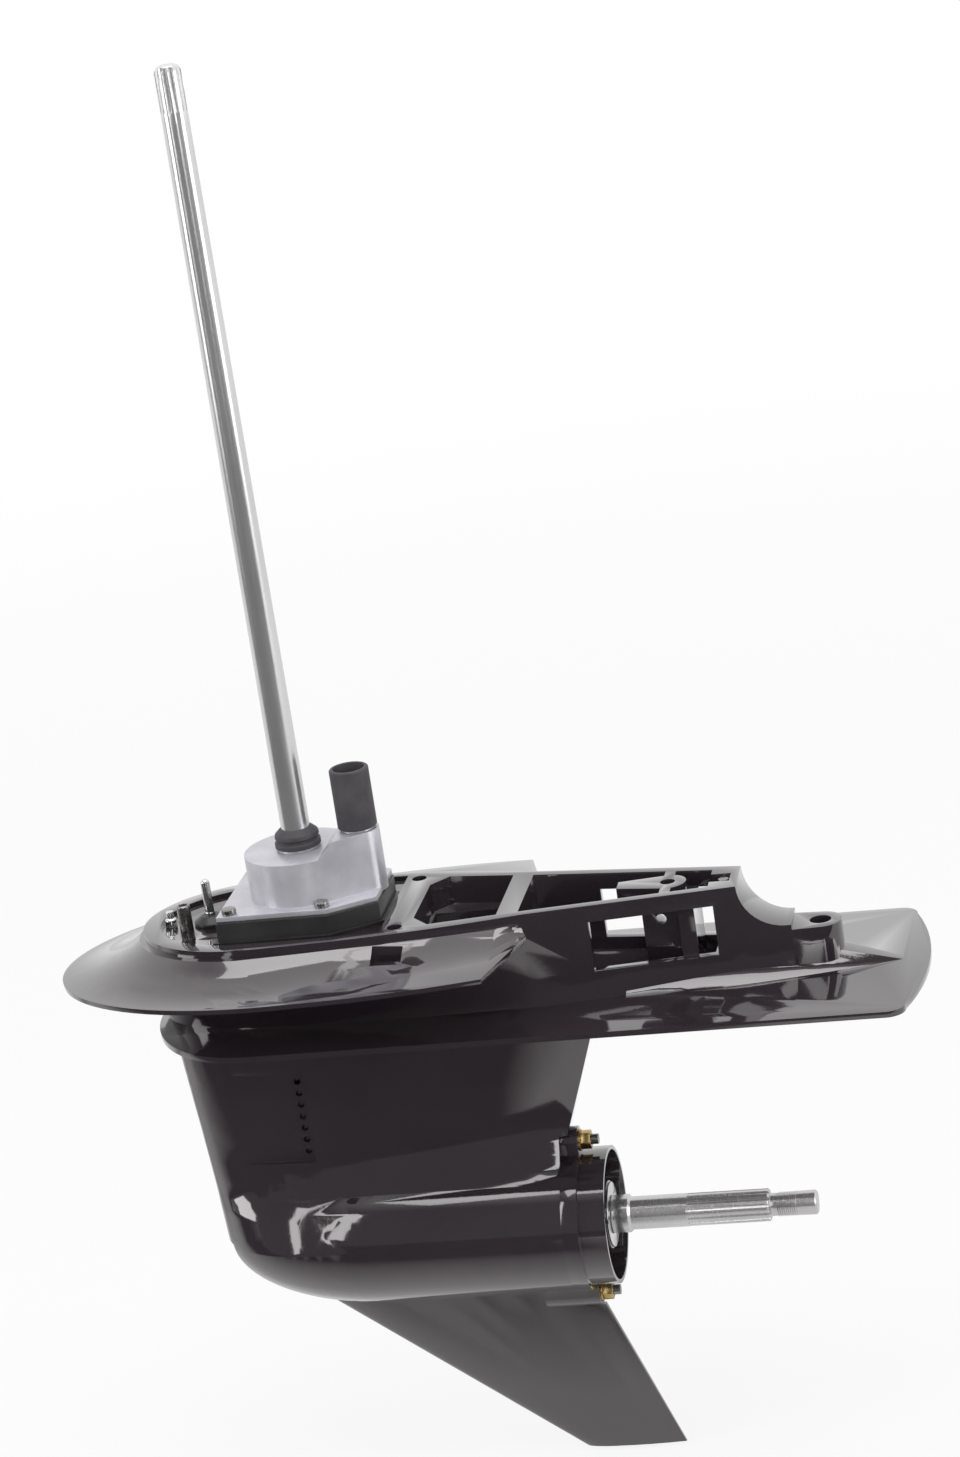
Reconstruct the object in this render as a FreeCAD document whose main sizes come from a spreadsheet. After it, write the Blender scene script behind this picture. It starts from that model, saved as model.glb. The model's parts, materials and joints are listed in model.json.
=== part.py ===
import FreeCAD, Part
import math
import os
import Sketcher

Vector = FreeCAD.Vector
Rotation = FreeCAD.Rotation
Placement = FreeCAD.Placement

# Frame: +X aft, +Y starboard, +Z up. The origin is on the drive shaft's axis in the deck face,
# where the unit bolts to the leg above. The propeller shaft's axis is axis_drop below it.

# Driving sizes in millimetres and degrees.
VALUES = {
    # layout
    "axis_drop": 268.0,
    "shift_x": 78.0,
    "fit_gap": 0.05,
    "run_gap": 0.3,
    # torpedo
    "torpedo_r": 57.0,
    "nose_x": 106.0,
    "nose_length": 126.0,
    "torpedo_end_x": 168.0,
    # strut
    "strut_high": 79.0,
    "strut_low": 235.0,
    "strut_low_front": 110.0,
    "strut_low_rear": 160.0,
    "strut_low_half": 27.0,
    "strut_high_front": 124.0,
    "strut_high_rear": 216.0,
    "strut_high_half": 30.0,
    "strut_edge_half": 4.0,
    "flare_high": 115.0,
    "flare_r": 95.0,
    # skeg
    "skeg_root_front": 62.0,
    "skeg_root_rear": 168.0,
    "skeg_root_drop": 36.0,
    "skeg_root_half": 9.0,
    "skeg_tip_front": 152.0,
    "skeg_tip_rear": 231.0,
    "skeg_tip_drop": 198.0,
    "skeg_tip_half": 4.0,
    # anti-ventilation plate
    "plate_top": 74.0,
    "plate_thick": 4.5,
    "plate_half": 104.0,
    "plate_rear": 450.0,
    "plate_bow": 14.0,
    "plate_corner_r": 14.0,
    "plate_front": 128.0,
    # splash plate
    "splash_tip_x": 200.0,
    "splash_half": 132.0,
    "splash_shoulder": 10.0,
    "splash_rear": 152.0,
    "splash_rear_half": 125.0,
    "splash_root_x": 176.0,
    "splash_root_half": 34.0,
    "splash_level": 24.0,
    "splash_thick": 3.6,
    "splash_tilt": 2.3,
    "skirt_top": 6.0,
    "skirt_sink": 0.4,
    "skirt_hollow": 2.6,
    "skirt_grow": 4.0,
    "notch_front": 62.0,
    "notch_rear": 85.0,
    "notch_wall": 70.0,
    "notch_out": 87.0,
    "notch_deep": 20.0,
    # upper body
    "body_front": 124.0,
    "shoulder_x": 40.0,
    "body_half": 46.0,
    "rib_x": 172.0,
    "rib_half": 46.0,
    "tail_start": 240.0,
    "body_tail": 447.0,
    "waist_drop": 39.0,
    "waist_half": 56.0,
    "ridge_front": 400.0,
    "ridge_drop": 61.0,
    "ridge_half": 9.0,
    "ridge_foot_half": 3.0,
    "tail_half": 28.0,
    "tail_foot_half": 44.0,
    "tab_boss_r": 16.0,
    "deck_front": 130.0,
    "deck_half": 76.0,
    "deck_rear_x": 329.0,
    "deck_rear_half": 22.0,
    "scoop_foot_x": 364.0,
    "deck_rim": 13.0,
    "recess_depth": 4.0,
    "recess_rear": 66.0,
    # deck bolt holes and pockets
    "deck_bolt_x": 76.3,
    "deck_bolt_y": 51.7,
    "deck_bolt_r": 5.7,
    "deck_bolt_deep": 42.0,
    "rear_bolt_x": 276.0,
    "rear_bolt_r": 5.6,
    "front_pocket_front": 90.0,
    "front_pocket_rear": 152.0,
    "front_pocket_half": 42.0,
    "well_lip_x": 88.0,
    "well_lip_half": 35.0,
    "well_corner_x": 101.0,
    "well_corner_half": 51.0,
    "well_step": 22.0,
    "pocket_depth": 62.0,
    "rear_pocket_front": 168.0,
    "rear_pocket_rear": 308.0,
    "pocket_wall": 7.0,
    "tongue_front": 238.0,
    "tongue_half": 14.0,
    "tongue_thick": 9.0,
    # side windows
    "window_front": 219.0,
    "window_rear": 311.0,
    "window_top": 13.0,
    "window_low": 52.0,
    "column_front": 255.0,
    "column_rear": 284.0,
    "cross_hole_x": 269.0,
    "cross_hole_drop": 26.0,
    "cross_hole_r": 4.0,
    # trim tab seat
    "tab_hole_x": 386.0,
    "tab_hole_r": 8.1,
    # water inlet
    "inlet_x": 26.0,
    "inlet_low": 188.0,
    "inlet_high": 130.0,
    "inlet_hole_r": 2.6,
    "inlet_count": 7,
    "ramp_high": 121.0,
    "ramp_long": 75.0,
    "ramp_front": 81.0,
    "ramp_front_half": 23.4,
    "ramp_rear": 20.0,
    "ramp_rear_half": 23.8,
    "duct_front": 46.0,
    "duct_rear": 22.0,
    "duct_half": 14.0,
    # exhaust duct
    "exhaust_front": 60.0,
    "exhaust_rear": 105.0,
    "exhaust_half": 7.0,
    # gear chamber
    "chamber_front": 31.0,
    "cup_r": 36.0,
    "cup_front": 60.0,
    "cup_rear": 42.0,
    "nose_cavity_r": 19.0,
    "nose_cavity_front": 92.0,
    # drive line
    "drive_r": 11.0,
    "drive_top_r": 9.8,
    "drive_tip": 642.6,
    "drive_taper_low": 125.0,
    "drive_spline_low": 609.0,
    "drive_grooves": 12,
    "tunnel_r": 16.0,
    "upper_bearing_r": 17.5,
    "upper_bearing_top": 24.0,
    "upper_bearing_long": 22.0,
    "pinion_bearing_r": 21.0,
    "pinion_bearing_low": 52.0,
    "pinion_bearing_long": 22.0,
    "pinion_journal_r": 15.0,
    # gears
    "pinion_teeth": 13,
    "gear_teeth": 26,
    "gear_module": 3.3,
    "face_width": 13.0,
    "gear_back_x": 30.0,
    "gear_hub_r": 22.0,
    "gear_hub_x": 60.0,
    "gear_bore_r": 15.0,
    "tooth_play": 0.12,
    # clutch
    "dog_count": 4,
    "dog_inner_r": 15.2,
    "spring_r": 0.8,
    "dog_outer_r": 20.5,
    "dog_angle": 20.0,
    "dog_long": 3.8,
    "clutch_half": 6.0,
    "spline_r": 11.4,
    "spline_keys": 6,
    "spline_key_r": 14.4,
    "spline_key_width": 5.0,
    "spline_half": 11.0,
    "gear_face_x": 15.2,
    "cross_pin_r": 3.0,
    "slide_r": 6.2,
    "slide_front": 30.0,
    "slide_rear": 8.0,
    # propeller shaft
    "prop_r": 12.7,
    "prop_spline_r": 12.5,
    "prop_spline_start": 258.0,
    "prop_spline_end": 321.0,
    "prop_grooves": 13,
    "prop_thread_r": 9.5,
    "prop_thread_start": 325.0,
    "prop_end": 357.5,
    "prop_journal_r": 11.0,
    "prop_front": 58.0,
    "prop_bore_r": 6.5,
    "collar_r": 14.7,
    "collar_end": 214.0,
    # bearing carrier
    "carrier_r": 47.4,
    "carrier_front": 44.5,
    "flange_thick_x": 12.6,
    "ear_thick": 13.0,
    "ring_r": 53.0,
    "ring_wall": 3.2,
    "ring_end": 201.0,
    "barrel_wall": 4.5,
    "ball_seat_r": 40.0,
    "ball_seat_long": 18.0,
    "hub_r": 26.0,
    "hub_end": 197.0,
    "web_thick": 12.5,
    "spoke_count": 3,
    "spoke_half": 3.0,
    "carrier_bore_r": 15.0,
    "o_ring_x": 160.0,
    "o_ring_r": 1.2,
    "needle_r": 17.0,
    "needle_start": 120.0,
    "needle_long": 30.0,
    "seal_r": 21.0,
    "seal_start": 177.0,
    "seal_long": 7.0,
    "seal_cover_r": 25.0,
    "ear_radius": 64.0,
    "ear_half": 11.0,
    "stud_r": 4.0,
    "stud_long": 49.0,
    "nut_flats": 13.0,
    "nut_thick": 8.0,
    "washer_r": 8.5,
    "washer_thick": 1.6,
    # shifter
    "shift_r": 3.5,
    "shift_body_r": 3.9,
    "shift_top": 31.5,
    "shift_turn": 25.0,
    "crank_arm": 9.9,
    "crank_pin_r": 2.5,
    "crank_low": 8.2,
    "crank_thick": 3.8,
    "crank_half": 4.5,
    "slot_play": 0.2,
    "head_half_long": 6.0,
    "head_low_y": 6.0,
    "head_high_y": 15.0,
    "head_half_high": 7.0,
    "bushing_r": 10.0,
    "bushing_top": 3.0,
    # water pump
    "base_front": 60.0,
    "base_rear": 62.0,
    "base_half": 51.0,
    "base_long_rear": 26.0,
    "base_rear_half": 30.0,
    "base_top": 12.4,
    "base_ledge": 3.0,
    "base_bore_r": 13.0,
    "gasket_thick": 0.5,
    "spigot_r": 30.0,
    "spigot_drop": 19.5,
    "pump_plate": 1.2,
    "flange_thick": 3.5,
    "flange_inset": 1.0,
    "drum_r": 42.0,
    "drum_top": 51.5,
    "cup_bore_r": 33.0,
    "cup_wall": 2.0,
    "cup_high": 24.0,
    "impeller_r": 31.5,
    "impeller_hub_r": 15.5,
    "impeller_high": 20.6,
    "impeller_low": 15.2,
    "key_half": 2.0,
    "key_low": 18.0,
    "key_long": 14.0,
    "key_deep": 2.0,
    "key_proud": 2.8,
    "impeller_vanes": 6,
    "vane_thick": 3.2,
    "shaft_boss_r": 16.0,
    "shaft_boss_top": 53.0,
    "slinger_r": 17.5,
    "slinger_high": 14.6,
    "tube_x": 48.0,
    "tube_r": 15.0,
    "tube_wall": 2.5,
    "tube_low": 64.0,
    "tube_bore_r": 12.0,
    "neck_high": 12.0,
    "neck_bore_r": 9.0,
    "tube_boss_r": 16.0,
    "neck_gap": 1.5,
    "ramp_foot": 22.0,
    "tube_top": 110.8,
    "pump_bolt_r": 3.0,
    "pump_bolt_head_r": 5.5,
    "pump_bolt_front": 50.0,
    "pump_bolt_rear": 22.0,
    "pump_bolt_y": 43.5,
    "pump_bolt_deep": 12.0,
    "pump_bolt_head": 4.5,
    # deck trim
    "dowel_x": 89.0,
    "dowel_y": 30.0,
    "dowel_r": 5.2,
    "dowel_top": 23.0,
    "fitting_x": 110.0,
    "fitting_r": 4.5,
    "fitting_top": 8.0,
    "stub_x": 318.0,
    "stub_r": 4.0,
    "stub_deep": 8.0,
    "oil_screw_r": 5.0,
    "oil_head_r": 8.0,
    "oil_head_thick": 4.0,
    "vent_x": 60.0,
    "vent_drop": 150.0,
    "vent_seat": 17.0,
    "vent_shank": 7.0,
    "drain_x": 20.0,
    "drain_drop": 30.0,
    "drain_seat": 40.5,
    "drain_shank": 3.0,
}


# A size: its value, and the expression that ties the model to the sheet.
class Size:
    def __init__(self, value, text):
        self.value = float(value)
        self.text = text

    def __add__(self, other):
        other = size(other)
        return Size(self.value + other.value, f"({self.text} + {other.text})")

    def __sub__(self, other):
        other = size(other)
        return Size(self.value - other.value, f"({self.text} - {other.text})")

    def __mul__(self, other):
        other = size(other)
        return Size(self.value * other.value, f"({self.text} * {other.text})")

    def __truediv__(self, other):
        other = size(other)
        return Size(self.value / other.value, f"({self.text} / {other.text})")

    def __neg__(self):
        return Size(-self.value, f"(0 - {self.text})")

    def __radd__(self, other):
        return size(other) + self

    def __rsub__(self, other):
        return size(other) - self

    def __rmul__(self, other):
        return size(other) * self


def size(item):
    return item if isinstance(item, Size) else Size(item, repr(float(item)))


doc = FreeCAD.newDocument("LowerUnit")
sheet = doc.addObject("Spreadsheet::Sheet", "Sizes")
for row, (name, value) in enumerate(VALUES.items(), start=1):
    sheet.set(f"A{row}", name)
    sheet.set(f"B{row}", str(value))
    sheet.setAlias(f"B{row}", name)
doc.recompute()


class Named:
    pass


s = Named()
for name, value in VALUES.items():
    setattr(s, name, Size(value, f"Sizes.{name}"))

SUBPARTS = []
ALONG_X = Rotation(Vector(0, 1, 0), 90)


def bind(feature, field, item):
    item = size(item)
    if "Sizes" in item.text:
        feature.setExpression(field, item.text)


def place(feature, x=0, y=0, z=0, turn=None):
    spots = [size(x), size(y), size(z)]
    base = Vector(*[spot.value for spot in spots])
    feature.Placement = Placement(base, turn or Rotation())
    for letter, spot in zip("xyz", spots):
        bind(feature, f"Placement.Base.{letter}", spot)
    return feature


def new_body(label):
    body = doc.addObject("PartDesign::Body", label)
    body.Label = label
    SUBPARTS.append(body)
    return body


def origin_feature(body, role):
    return next(item for item in body.Origin.OriginFeatures if item.Role == role)


def new_sketch(body, role="XY_Plane", offset=0, tilt=0):
    sketch = body.newObject("Sketcher::SketchObject", "Sketch")
    sketch.AttachmentSupport = [(origin_feature(body, role), "")]
    sketch.MapMode = "FlatFace"
    offset = size(offset)
    lean = Rotation(Vector(0, 1, 0), size(tilt).value)
    sketch.AttachmentOffset = Placement(Vector(0, 0, offset.value), lean)
    bind(sketch, "AttachmentOffset.Base.z", offset)
    return sketch


def pin_points(sketch, pairs):
    constraints = []
    texts = []
    for geometry, point, x, y in pairs:
        for kind, item in (("DistanceX", size(x)), ("DistanceY", size(y))):
            constraints.append(Sketcher.Constraint(kind, -1, 1, geometry, point, item.value))
            texts.append(item.text)
    indexes = sketch.addConstraint(constraints)
    for index, text in zip(indexes, texts):
        if "Sizes" in text:
            sketch.setExpression(f"Constraints[{index}]", text)


def polygon(sketch, points):
    points = [(size(x), size(y)) for x, y in points]
    first = sketch.GeometryCount
    spots = [Vector(x.value, y.value, 0) for x, y in points]
    count = len(points)
    for index in range(count):
        sketch.addGeometry(Part.LineSegment(spots[index], spots[(index + 1) % count]), False)
    joints = []
    for index in range(count):
        following = first + (index + 1) % count
        joints.append(Sketcher.Constraint("Coincident", first + index, 2, following, 1))
    sketch.addConstraint(joints)
    pin_points(sketch, [(first + index, 1, x, y) for index, (x, y) in enumerate(points)])
    return sketch


def rectangle(sketch, x_low, x_high, y_low, y_high):
    return polygon(sketch, [(x_low, y_low), (x_high, y_low), (x_high, y_high), (x_low, y_high)])


def circle(sketch, x, y, radius):
    x, y, radius = size(x), size(y), size(radius)
    index = sketch.addGeometry(Part.Circle(Vector(x.value, y.value, 0), Vector(0, 0, 1), radius.value), False)
    number = sketch.addConstraint(Sketcher.Constraint("Radius", index, radius.value))
    if "Sizes" in radius.text:
        sketch.setExpression(f"Constraints[{number}]", radius.text)
    pin_points(sketch, [(index, 3, x, y)])
    return sketch


def curves(sketch, items):
    for item in items:
        sketch.addGeometry(item, False)
    return sketch


def pad(body, sketch, length, both=False, back=False):
    feature = body.newObject("PartDesign::Pad", "Pad")
    feature.Profile = sketch
    length = size(length)
    feature.Length = length.value
    bind(feature, "Length", length)
    feature.Midplane = both
    feature.Reversed = back
    return feature


def pocket(body, sketch, length, both=False, back=False):
    feature = body.newObject("PartDesign::Pocket", "Pocket")
    feature.Profile = sketch
    length = size(length)
    feature.Length = length.value
    bind(feature, "Length", length)
    feature.Midplane = both
    feature.Reversed = back
    return feature


def turned(body, points, role="XZ_Plane", axis="V_Axis", cut=False):
    sketch = polygon(new_sketch(body, role), points)
    kind = "Groove" if cut else "Revolution"
    feature = body.newObject(f"PartDesign::{kind}", kind)
    feature.Profile = sketch
    feature.ReferenceAxis = (sketch, [axis])
    feature.Angle = 360.0
    return feature


def loft(body, sections, ruled=False):
    feature = body.newObject("PartDesign::AdditiveLoft", "Loft")
    feature.Profile = sections[0]
    feature.Sections = sections[1:]
    feature.Ruled = ruled
    return feature


def around(body, feature, count, role="Z_Axis", cut=False):
    doc.recompute()
    pattern = body.newObject("PartDesign::PolarPattern", "Pattern")
    pattern.Originals = [feature]
    pattern.Axis = (origin_feature(body, role), [""])
    pattern.Angle = 360.0
    pattern.Occurrences = int(size(count).value)
    bind(pattern, "Occurrences", count)
    body.Tip = pattern
    return pattern


def ring(label, profile, x=0, y=0, z=0, turn=None):
    body = new_body(label)
    turned(body, profile)
    return place(body, x, y, z, turn)


def washer_profile(inner, outer, low, high):
    return [(inner, low), (outer, low), (outer, high), (inner, high)]


def shaft_line(label, profile, x=0, y=0, z=0):
    return ring(label, profile, x, y, z, ALONG_X)


def plain(label, shape, x=0, y=0, z=0):
    feature = doc.addObject("Part::Feature", label)
    feature.Label = label
    feature.Shape = shape
    SUBPARTS.append(feature)
    return place(feature, x, y, z)


def arc_through(start, middle, end):
    return Part.Arc(Vector(*start, 0), Vector(*middle, 0), Vector(*end, 0))


def line_between(start, end):
    return Part.LineSegment(Vector(*start, 0), Vector(*end, 0))


# The rounded nose of a plan outline: half an ellipse that is widest at the shoulder.
def nose_arc(front, shoulder, half):
    centre = Vector(shoulder, 0, 0)
    length = shoulder - front
    if length > half:
        ellipse = Part.Ellipse(centre, length, half)
        return Part.ArcOfEllipse(ellipse, math.pi / 2, 3 * math.pi / 2)
    ellipse = Part.Ellipse(Vector(shoulder, half, 0), Vector(front, 0, 0), centre)
    return Part.ArcOfEllipse(ellipse, 0, math.pi)


# A plan outline, the same on both sides: an elliptic nose, arcs or lines aft and a square end.
def leaf(sketch, front, shoulder, half, stations):
    items = [nose_arc(front, shoulder, half)]
    for side in (1, -1):
        here = (shoulder, side * half)
        for middle, end in stations:
            end = (end[0], side * end[1])
            if middle:
                items.append(arc_through(here, (middle[0], side * middle[1]), end))
            else:
                items.append(line_between(here, end))
            here = end
    last_x, last_y = stations[-1][1]
    items.append(line_between((last_x, last_y), (last_x, -last_y)))
    return curves(sketch, items)


# A foil section: elliptic nose over the first third, then a flat arc to a thin square trailing edge.
def foil(sketch, front, rear, half, trailing_half):
    shoulder = front + 0.3 * (rear - front)
    crown = trailing_half + 0.72 * (half - trailing_half) + 0.3
    middle = (0.5 * (shoulder + rear), crown)
    return leaf(sketch, front, shoulder, half, [(middle, (rear, trailing_half))])


# Half width of the strut at a height over the propeller shaft's axis: the strut's own half width,
# or the arc of the flare that runs from it to the torpedo, or the torpedo inside.
def flared(half, height):
    radius = s.flare_r.value
    torpedo = s.torpedo_r.value - 0.3
    tangent = math.sqrt((torpedo + radius) ** 2 - (half + radius) ** 2)
    if height >= tangent:
        return half
    flare = half + radius - math.sqrt(max(radius**2 - (tangent - height) ** 2, 0))
    return min(flare, 0.99 * math.sqrt(torpedo**2 - min(height, 0.8 * torpedo) ** 2))


def strut_section(sketch, drop):
    share = (drop.value - s.strut_high.value) / (s.strut_low.value - s.strut_high.value)
    front = s.strut_high_front.value + share * (s.strut_low_front.value - s.strut_high_front.value)
    rear = s.strut_high_rear.value + share * (s.strut_low_rear.value - s.strut_high_rear.value)
    half = s.strut_high_half.value + share * (s.strut_low_half.value - s.strut_high_half.value)
    height = s.axis_drop.value - drop.value
    return foil(sketch, -front, rear, flared(half, height), flared(s.strut_edge_half.value, height))


# The upper body's plan outline at one height: front is its nose, half its half width at the shoulder.
def body_outline(sketch, front, half):
    rib = s.rib_half.value
    stations = [
        ((0.5 * (s.rib_x.value - s.shoulder_x.value), 0.38 * rib + 0.62 * half + 3), (s.rib_x.value, rib)),
        (None, (s.deck_rear_x.value, s.deck_rear_half.value)),
        (None, (s.scoop_foot_x.value + 2, 0.8 * s.deck_rear_half.value)),
    ]
    return leaf(sketch, -front, -s.shoulder_x.value, half, stations)


def plate_outline(sketch):
    half = s.plate_half.value
    rear = s.plate_rear.value
    corner = s.plate_corner_r.value
    bevel = corner * (1 - math.sqrt(0.5))
    shoulder = -s.shoulder_x.value
    items = [nose_arc(-s.plate_front.value, shoulder, half)]
    for side in (1, -1):
        items.append(line_between((shoulder, side * half), (rear - corner, side * half)))
        start = (rear - corner, side * half)
        middle = (rear - bevel, side * (half - bevel))
        items.append(arc_through(start, middle, (rear, side * (half - corner))))
    bow = (rear + s.plate_bow.value, 0)
    items.append(arc_through((rear, half - corner), bow, (rear, corner - half)))
    return curves(sketch, items)


# The skirt's plan outline, from its thin outer edge (share 0) to its top against the deck (share 1).
def skirt_outline(sketch, share):
    def between(outer, inner):
        return outer + share * (inner - outer)

    grow = s.skirt_grow.value
    half = between(s.splash_half.value, s.deck_half.value + grow)
    aft = (s.splash_rear.value, between(s.splash_rear_half.value, s.rib_half.value + grow + 6))
    root = (s.splash_root_x.value, between(s.splash_root_half.value, s.rib_half.value - 4))
    shoulder = between(s.splash_shoulder.value, -s.shoulder_x.value)
    stations = [((0.5 * (shoulder + aft[0]), 0.5 * (half + aft[1]) + 4 - 2 * share), aft), (None, root)]
    front = between(s.splash_tip_x.value, s.deck_front.value + grow)
    return leaf(sketch, -front, shoulder, half, stations)


def tail_outline(sketch, half, end_x, end_half):
    start_x = s.tail_start.value
    items = []
    for side in (1, -1):
        middle = (0.5 * (start_x + end_x), side * (end_half + 0.66 * (half - end_half)))
        items.append(arc_through((start_x, side * half), middle, (end_x, side * end_half)))
    for x, y in ((start_x, half), (end_x, end_half)):
        items.append(line_between((x, -y), (x, y)))
    return curves(sketch, items)


def torpedo_profile(sketch):
    centre = s.nose_length.value - s.nose_x.value
    radius = s.torpedo_r.value
    end = s.torpedo_end_x.value
    ellipse = Part.Ellipse(Vector(centre, 0, 0), s.nose_length.value, radius)
    items = [
        Part.ArcOfEllipse(ellipse, math.pi / 2, math.pi),
        line_between((centre, radius), (end, radius)),
        line_between((end, radius), (end, 0)),
        line_between((end, 0), (-s.nose_x.value, 0)),
    ]
    return curves(sketch, items)


def sketch_at_axis(body):
    sketch = new_sketch(body, "XZ_Plane")
    sketch.AttachmentOffset = Placement(Vector(0, -s.axis_drop.value, 0), Rotation())
    bind(sketch, "AttachmentOffset.Base.y", -s.axis_drop)
    return sketch


def round_axis(body, sketch, cut=False):
    kind = "Groove" if cut else "Revolution"
    feature = body.newObject(f"PartDesign::{kind}", kind)
    feature.Profile = sketch
    feature.ReferenceAxis = (sketch, ["H_Axis"])
    feature.Angle = 360.0
    return feature


def lobe(body, x_start, length, side):
    height = -s.axis_drop + side * s.ear_radius
    block = new_sketch(body, "YZ_Plane", x_start)
    rectangle(block, -s.ear_half, s.ear_half, height - side * 24, height)
    pad(body, block, length)
    tip = new_sketch(body, "YZ_Plane", x_start)
    circle(tip, 0, height, s.ear_half)
    pad(body, tip, length)


def side_hole(body, x, z, radius, y_from, depth):
    sketch = new_sketch(body, "XZ_Plane", -y_from)
    circle(sketch, x, z, radius)
    return pocket(body, sketch, depth, back=True)


def pump_bolt_spots():
    spots = []
    for side in (1, -1):
        spots.append((-s.pump_bolt_front, side * s.pump_bolt_y))
        spots.append((s.pump_bolt_rear, side * s.pump_bolt_y))
    return spots


# Place of the vent and drain screws on the starboard side: x, z, seat and shank length.
def oil_screw_spots():
    vent = (s.vent_x, -s.vent_drop, s.vent_seat, s.vent_shank)
    drain = (-s.drain_x, -s.axis_drop - s.drain_drop, s.drain_seat, s.drain_shank)
    return [vent, drain]


def gearcase_housing():
    body = new_body("gearcase_housing")
    plate_low = s.plate_top + s.plate_thick

    strut = []
    for drop in (plate_low - 1, s.axis_drop - s.flare_high):
        strut.append(strut_section(new_sketch(body, "XY_Plane", -drop), drop))
    loft(body, strut)
    flare = []
    for share in (1.0, 0.70, 0.62, 0.54, 0.46, 0.38, 0.30, 0.05):
        drop = s.axis_drop - s.flare_high * share
        flare.append(strut_section(new_sketch(body, "XY_Plane", -drop), drop))
    loft(body, flare, ruled=True)

    round_axis(body, torpedo_profile(sketch_at_axis(body)))

    root = new_sketch(body, "XY_Plane", -s.axis_drop - s.skeg_root_drop)
    foil(root, -s.skeg_root_front.value, s.skeg_root_rear.value, s.skeg_root_half.value, 2.5)
    tip = new_sketch(body, "XY_Plane", -s.axis_drop - s.skeg_tip_drop)
    foil(tip, s.skeg_tip_front.value, s.skeg_tip_rear.value, s.skeg_tip_half.value, 1.2)
    loft(body, [root, tip])

    pad(body, plate_outline(new_sketch(body, "XY_Plane", -s.plate_top)), s.plate_thick, back=True)

    thin = s.deck_rear_half
    sections = []
    for height, front, half in (
        (-s.plate_top - 1, s.body_front, s.body_half),
        (-50, s.body_front, s.waist_half),
        (-30, s.deck_front, s.deck_half - 6),
        (0, s.deck_front, s.deck_half),
    ):
        sketch = new_sketch(body, "XY_Plane", height)
        sections.append(body_outline(sketch, front.value, half.value))
    loft(body, sections, ruled=True)

    tail = []
    for share in (0.0, 0.35, 1.0):
        drop = s.plate_top + 1 - (s.plate_top + 1 - s.ridge_drop) * share
        sketch = new_sketch(body, "XY_Plane", -drop)
        flat = (1 - share) ** 2
        half = s.tail_half.value + flat * (s.tail_foot_half.value - s.tail_half.value)
        end = s.ridge_front.value + (1 - share) * (s.body_tail.value - s.ridge_front.value)
        aft_half = s.ridge_half.value + (1 - share) * (s.ridge_foot_half.value - s.ridge_half.value)
        tail.append(tail_outline(sketch, half, end, aft_half))
    loft(body, tail)
    crest = new_sketch(body, "XY_Plane", -s.waist_drop)
    start = s.scoop_foot_x - 60
    foot = s.tab_boss_r
    corners = [(start, -foot - 6), (s.tab_hole_x, -foot), (s.tab_hole_x, foot), (start, foot + 6)]
    polygon(crest, corners)
    pad(body, crest, s.ridge_drop - s.waist_drop + 6, back=True)
    boss = new_sketch(body, "XY_Plane", -s.waist_drop)
    circle(boss, s.tab_hole_x, 0, foot)
    pad(body, boss, s.ridge_drop - s.waist_drop + 6, back=True)

    splash = new_sketch(body, "XY_Plane", -s.splash_level, -s.splash_tilt)
    pad(body, skirt_outline(splash, 0), s.splash_thick, back=True)
    skirt = []
    for share in (0.0, 0.4, 0.72, 0.9, 1.0):
        rise = (s.splash_level - s.skirt_top) * share**s.skirt_hollow.value
        drop = s.splash_level + s.skirt_sink - rise
        lean = s.splash_tilt * (1 - share)
        skirt.append(skirt_outline(new_sketch(body, "XY_Plane", -drop, -lean), share))
    loft(body, skirt, ruled=True)
    notch = new_sketch(body)
    for side in (1, -1):
        rectangle(notch, s.notch_front, s.notch_rear, side * s.notch_wall, side * s.notch_out)
    pocket(body, notch, s.notch_deep)

    for side in (1, -1):
        lobe(body, s.torpedo_end_x - 30, 30, side)

    scoop = new_sketch(body, "XZ_Plane")
    circle(scoop, s.scoop_foot_x, 0, s.scoop_foot_x - s.deck_rear_x)
    pocket(body, scoop, 120, both=True)

    recess = new_sketch(body)
    rim = s.deck_rim.value
    inner = s.deck_half.value - rim
    aft = (s.recess_rear.value, 0.95 * inner)
    leaf(recess, rim - s.deck_front.value, -s.shoulder_x.value, inner, [((20.0, 0.99 * inner), aft)])
    pocket(body, recess, s.recess_depth)

    mouth = new_sketch(body)
    corners = [
        (s.well_lip_x, -s.well_lip_half),
        (s.well_corner_x, -s.well_corner_half),
        (s.front_pocket_rear, -s.front_pocket_half),
        (s.front_pocket_rear, s.front_pocket_half),
        (s.well_corner_x, s.well_corner_half),
        (s.well_lip_x, s.well_lip_half),
    ]
    polygon(mouth, corners)
    pocket(body, mouth, s.well_step)
    sketch = new_sketch(body)
    half = s.front_pocket_half - 12
    rectangle(sketch, s.front_pocket_front, s.front_pocket_rear, -half, half)
    pocket(body, sketch, s.pocket_depth)
    rear = new_sketch(body)
    wide = s.rib_half - s.pocket_wall
    narrow = thin * 1.12 - s.pocket_wall
    corners = [
        (s.rear_pocket_front, -wide),
        (s.rear_pocket_rear, -narrow),
        (s.rear_pocket_rear, narrow),
        (s.rear_pocket_front, wide),
    ]
    pocket(body, polygon(rear, corners), s.pocket_depth)

    window = new_sketch(body, "XZ_Plane")
    rectangle(window, s.window_front, s.window_rear, -s.window_low, -s.window_top)
    pocket(body, window, 140, both=True)

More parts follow.
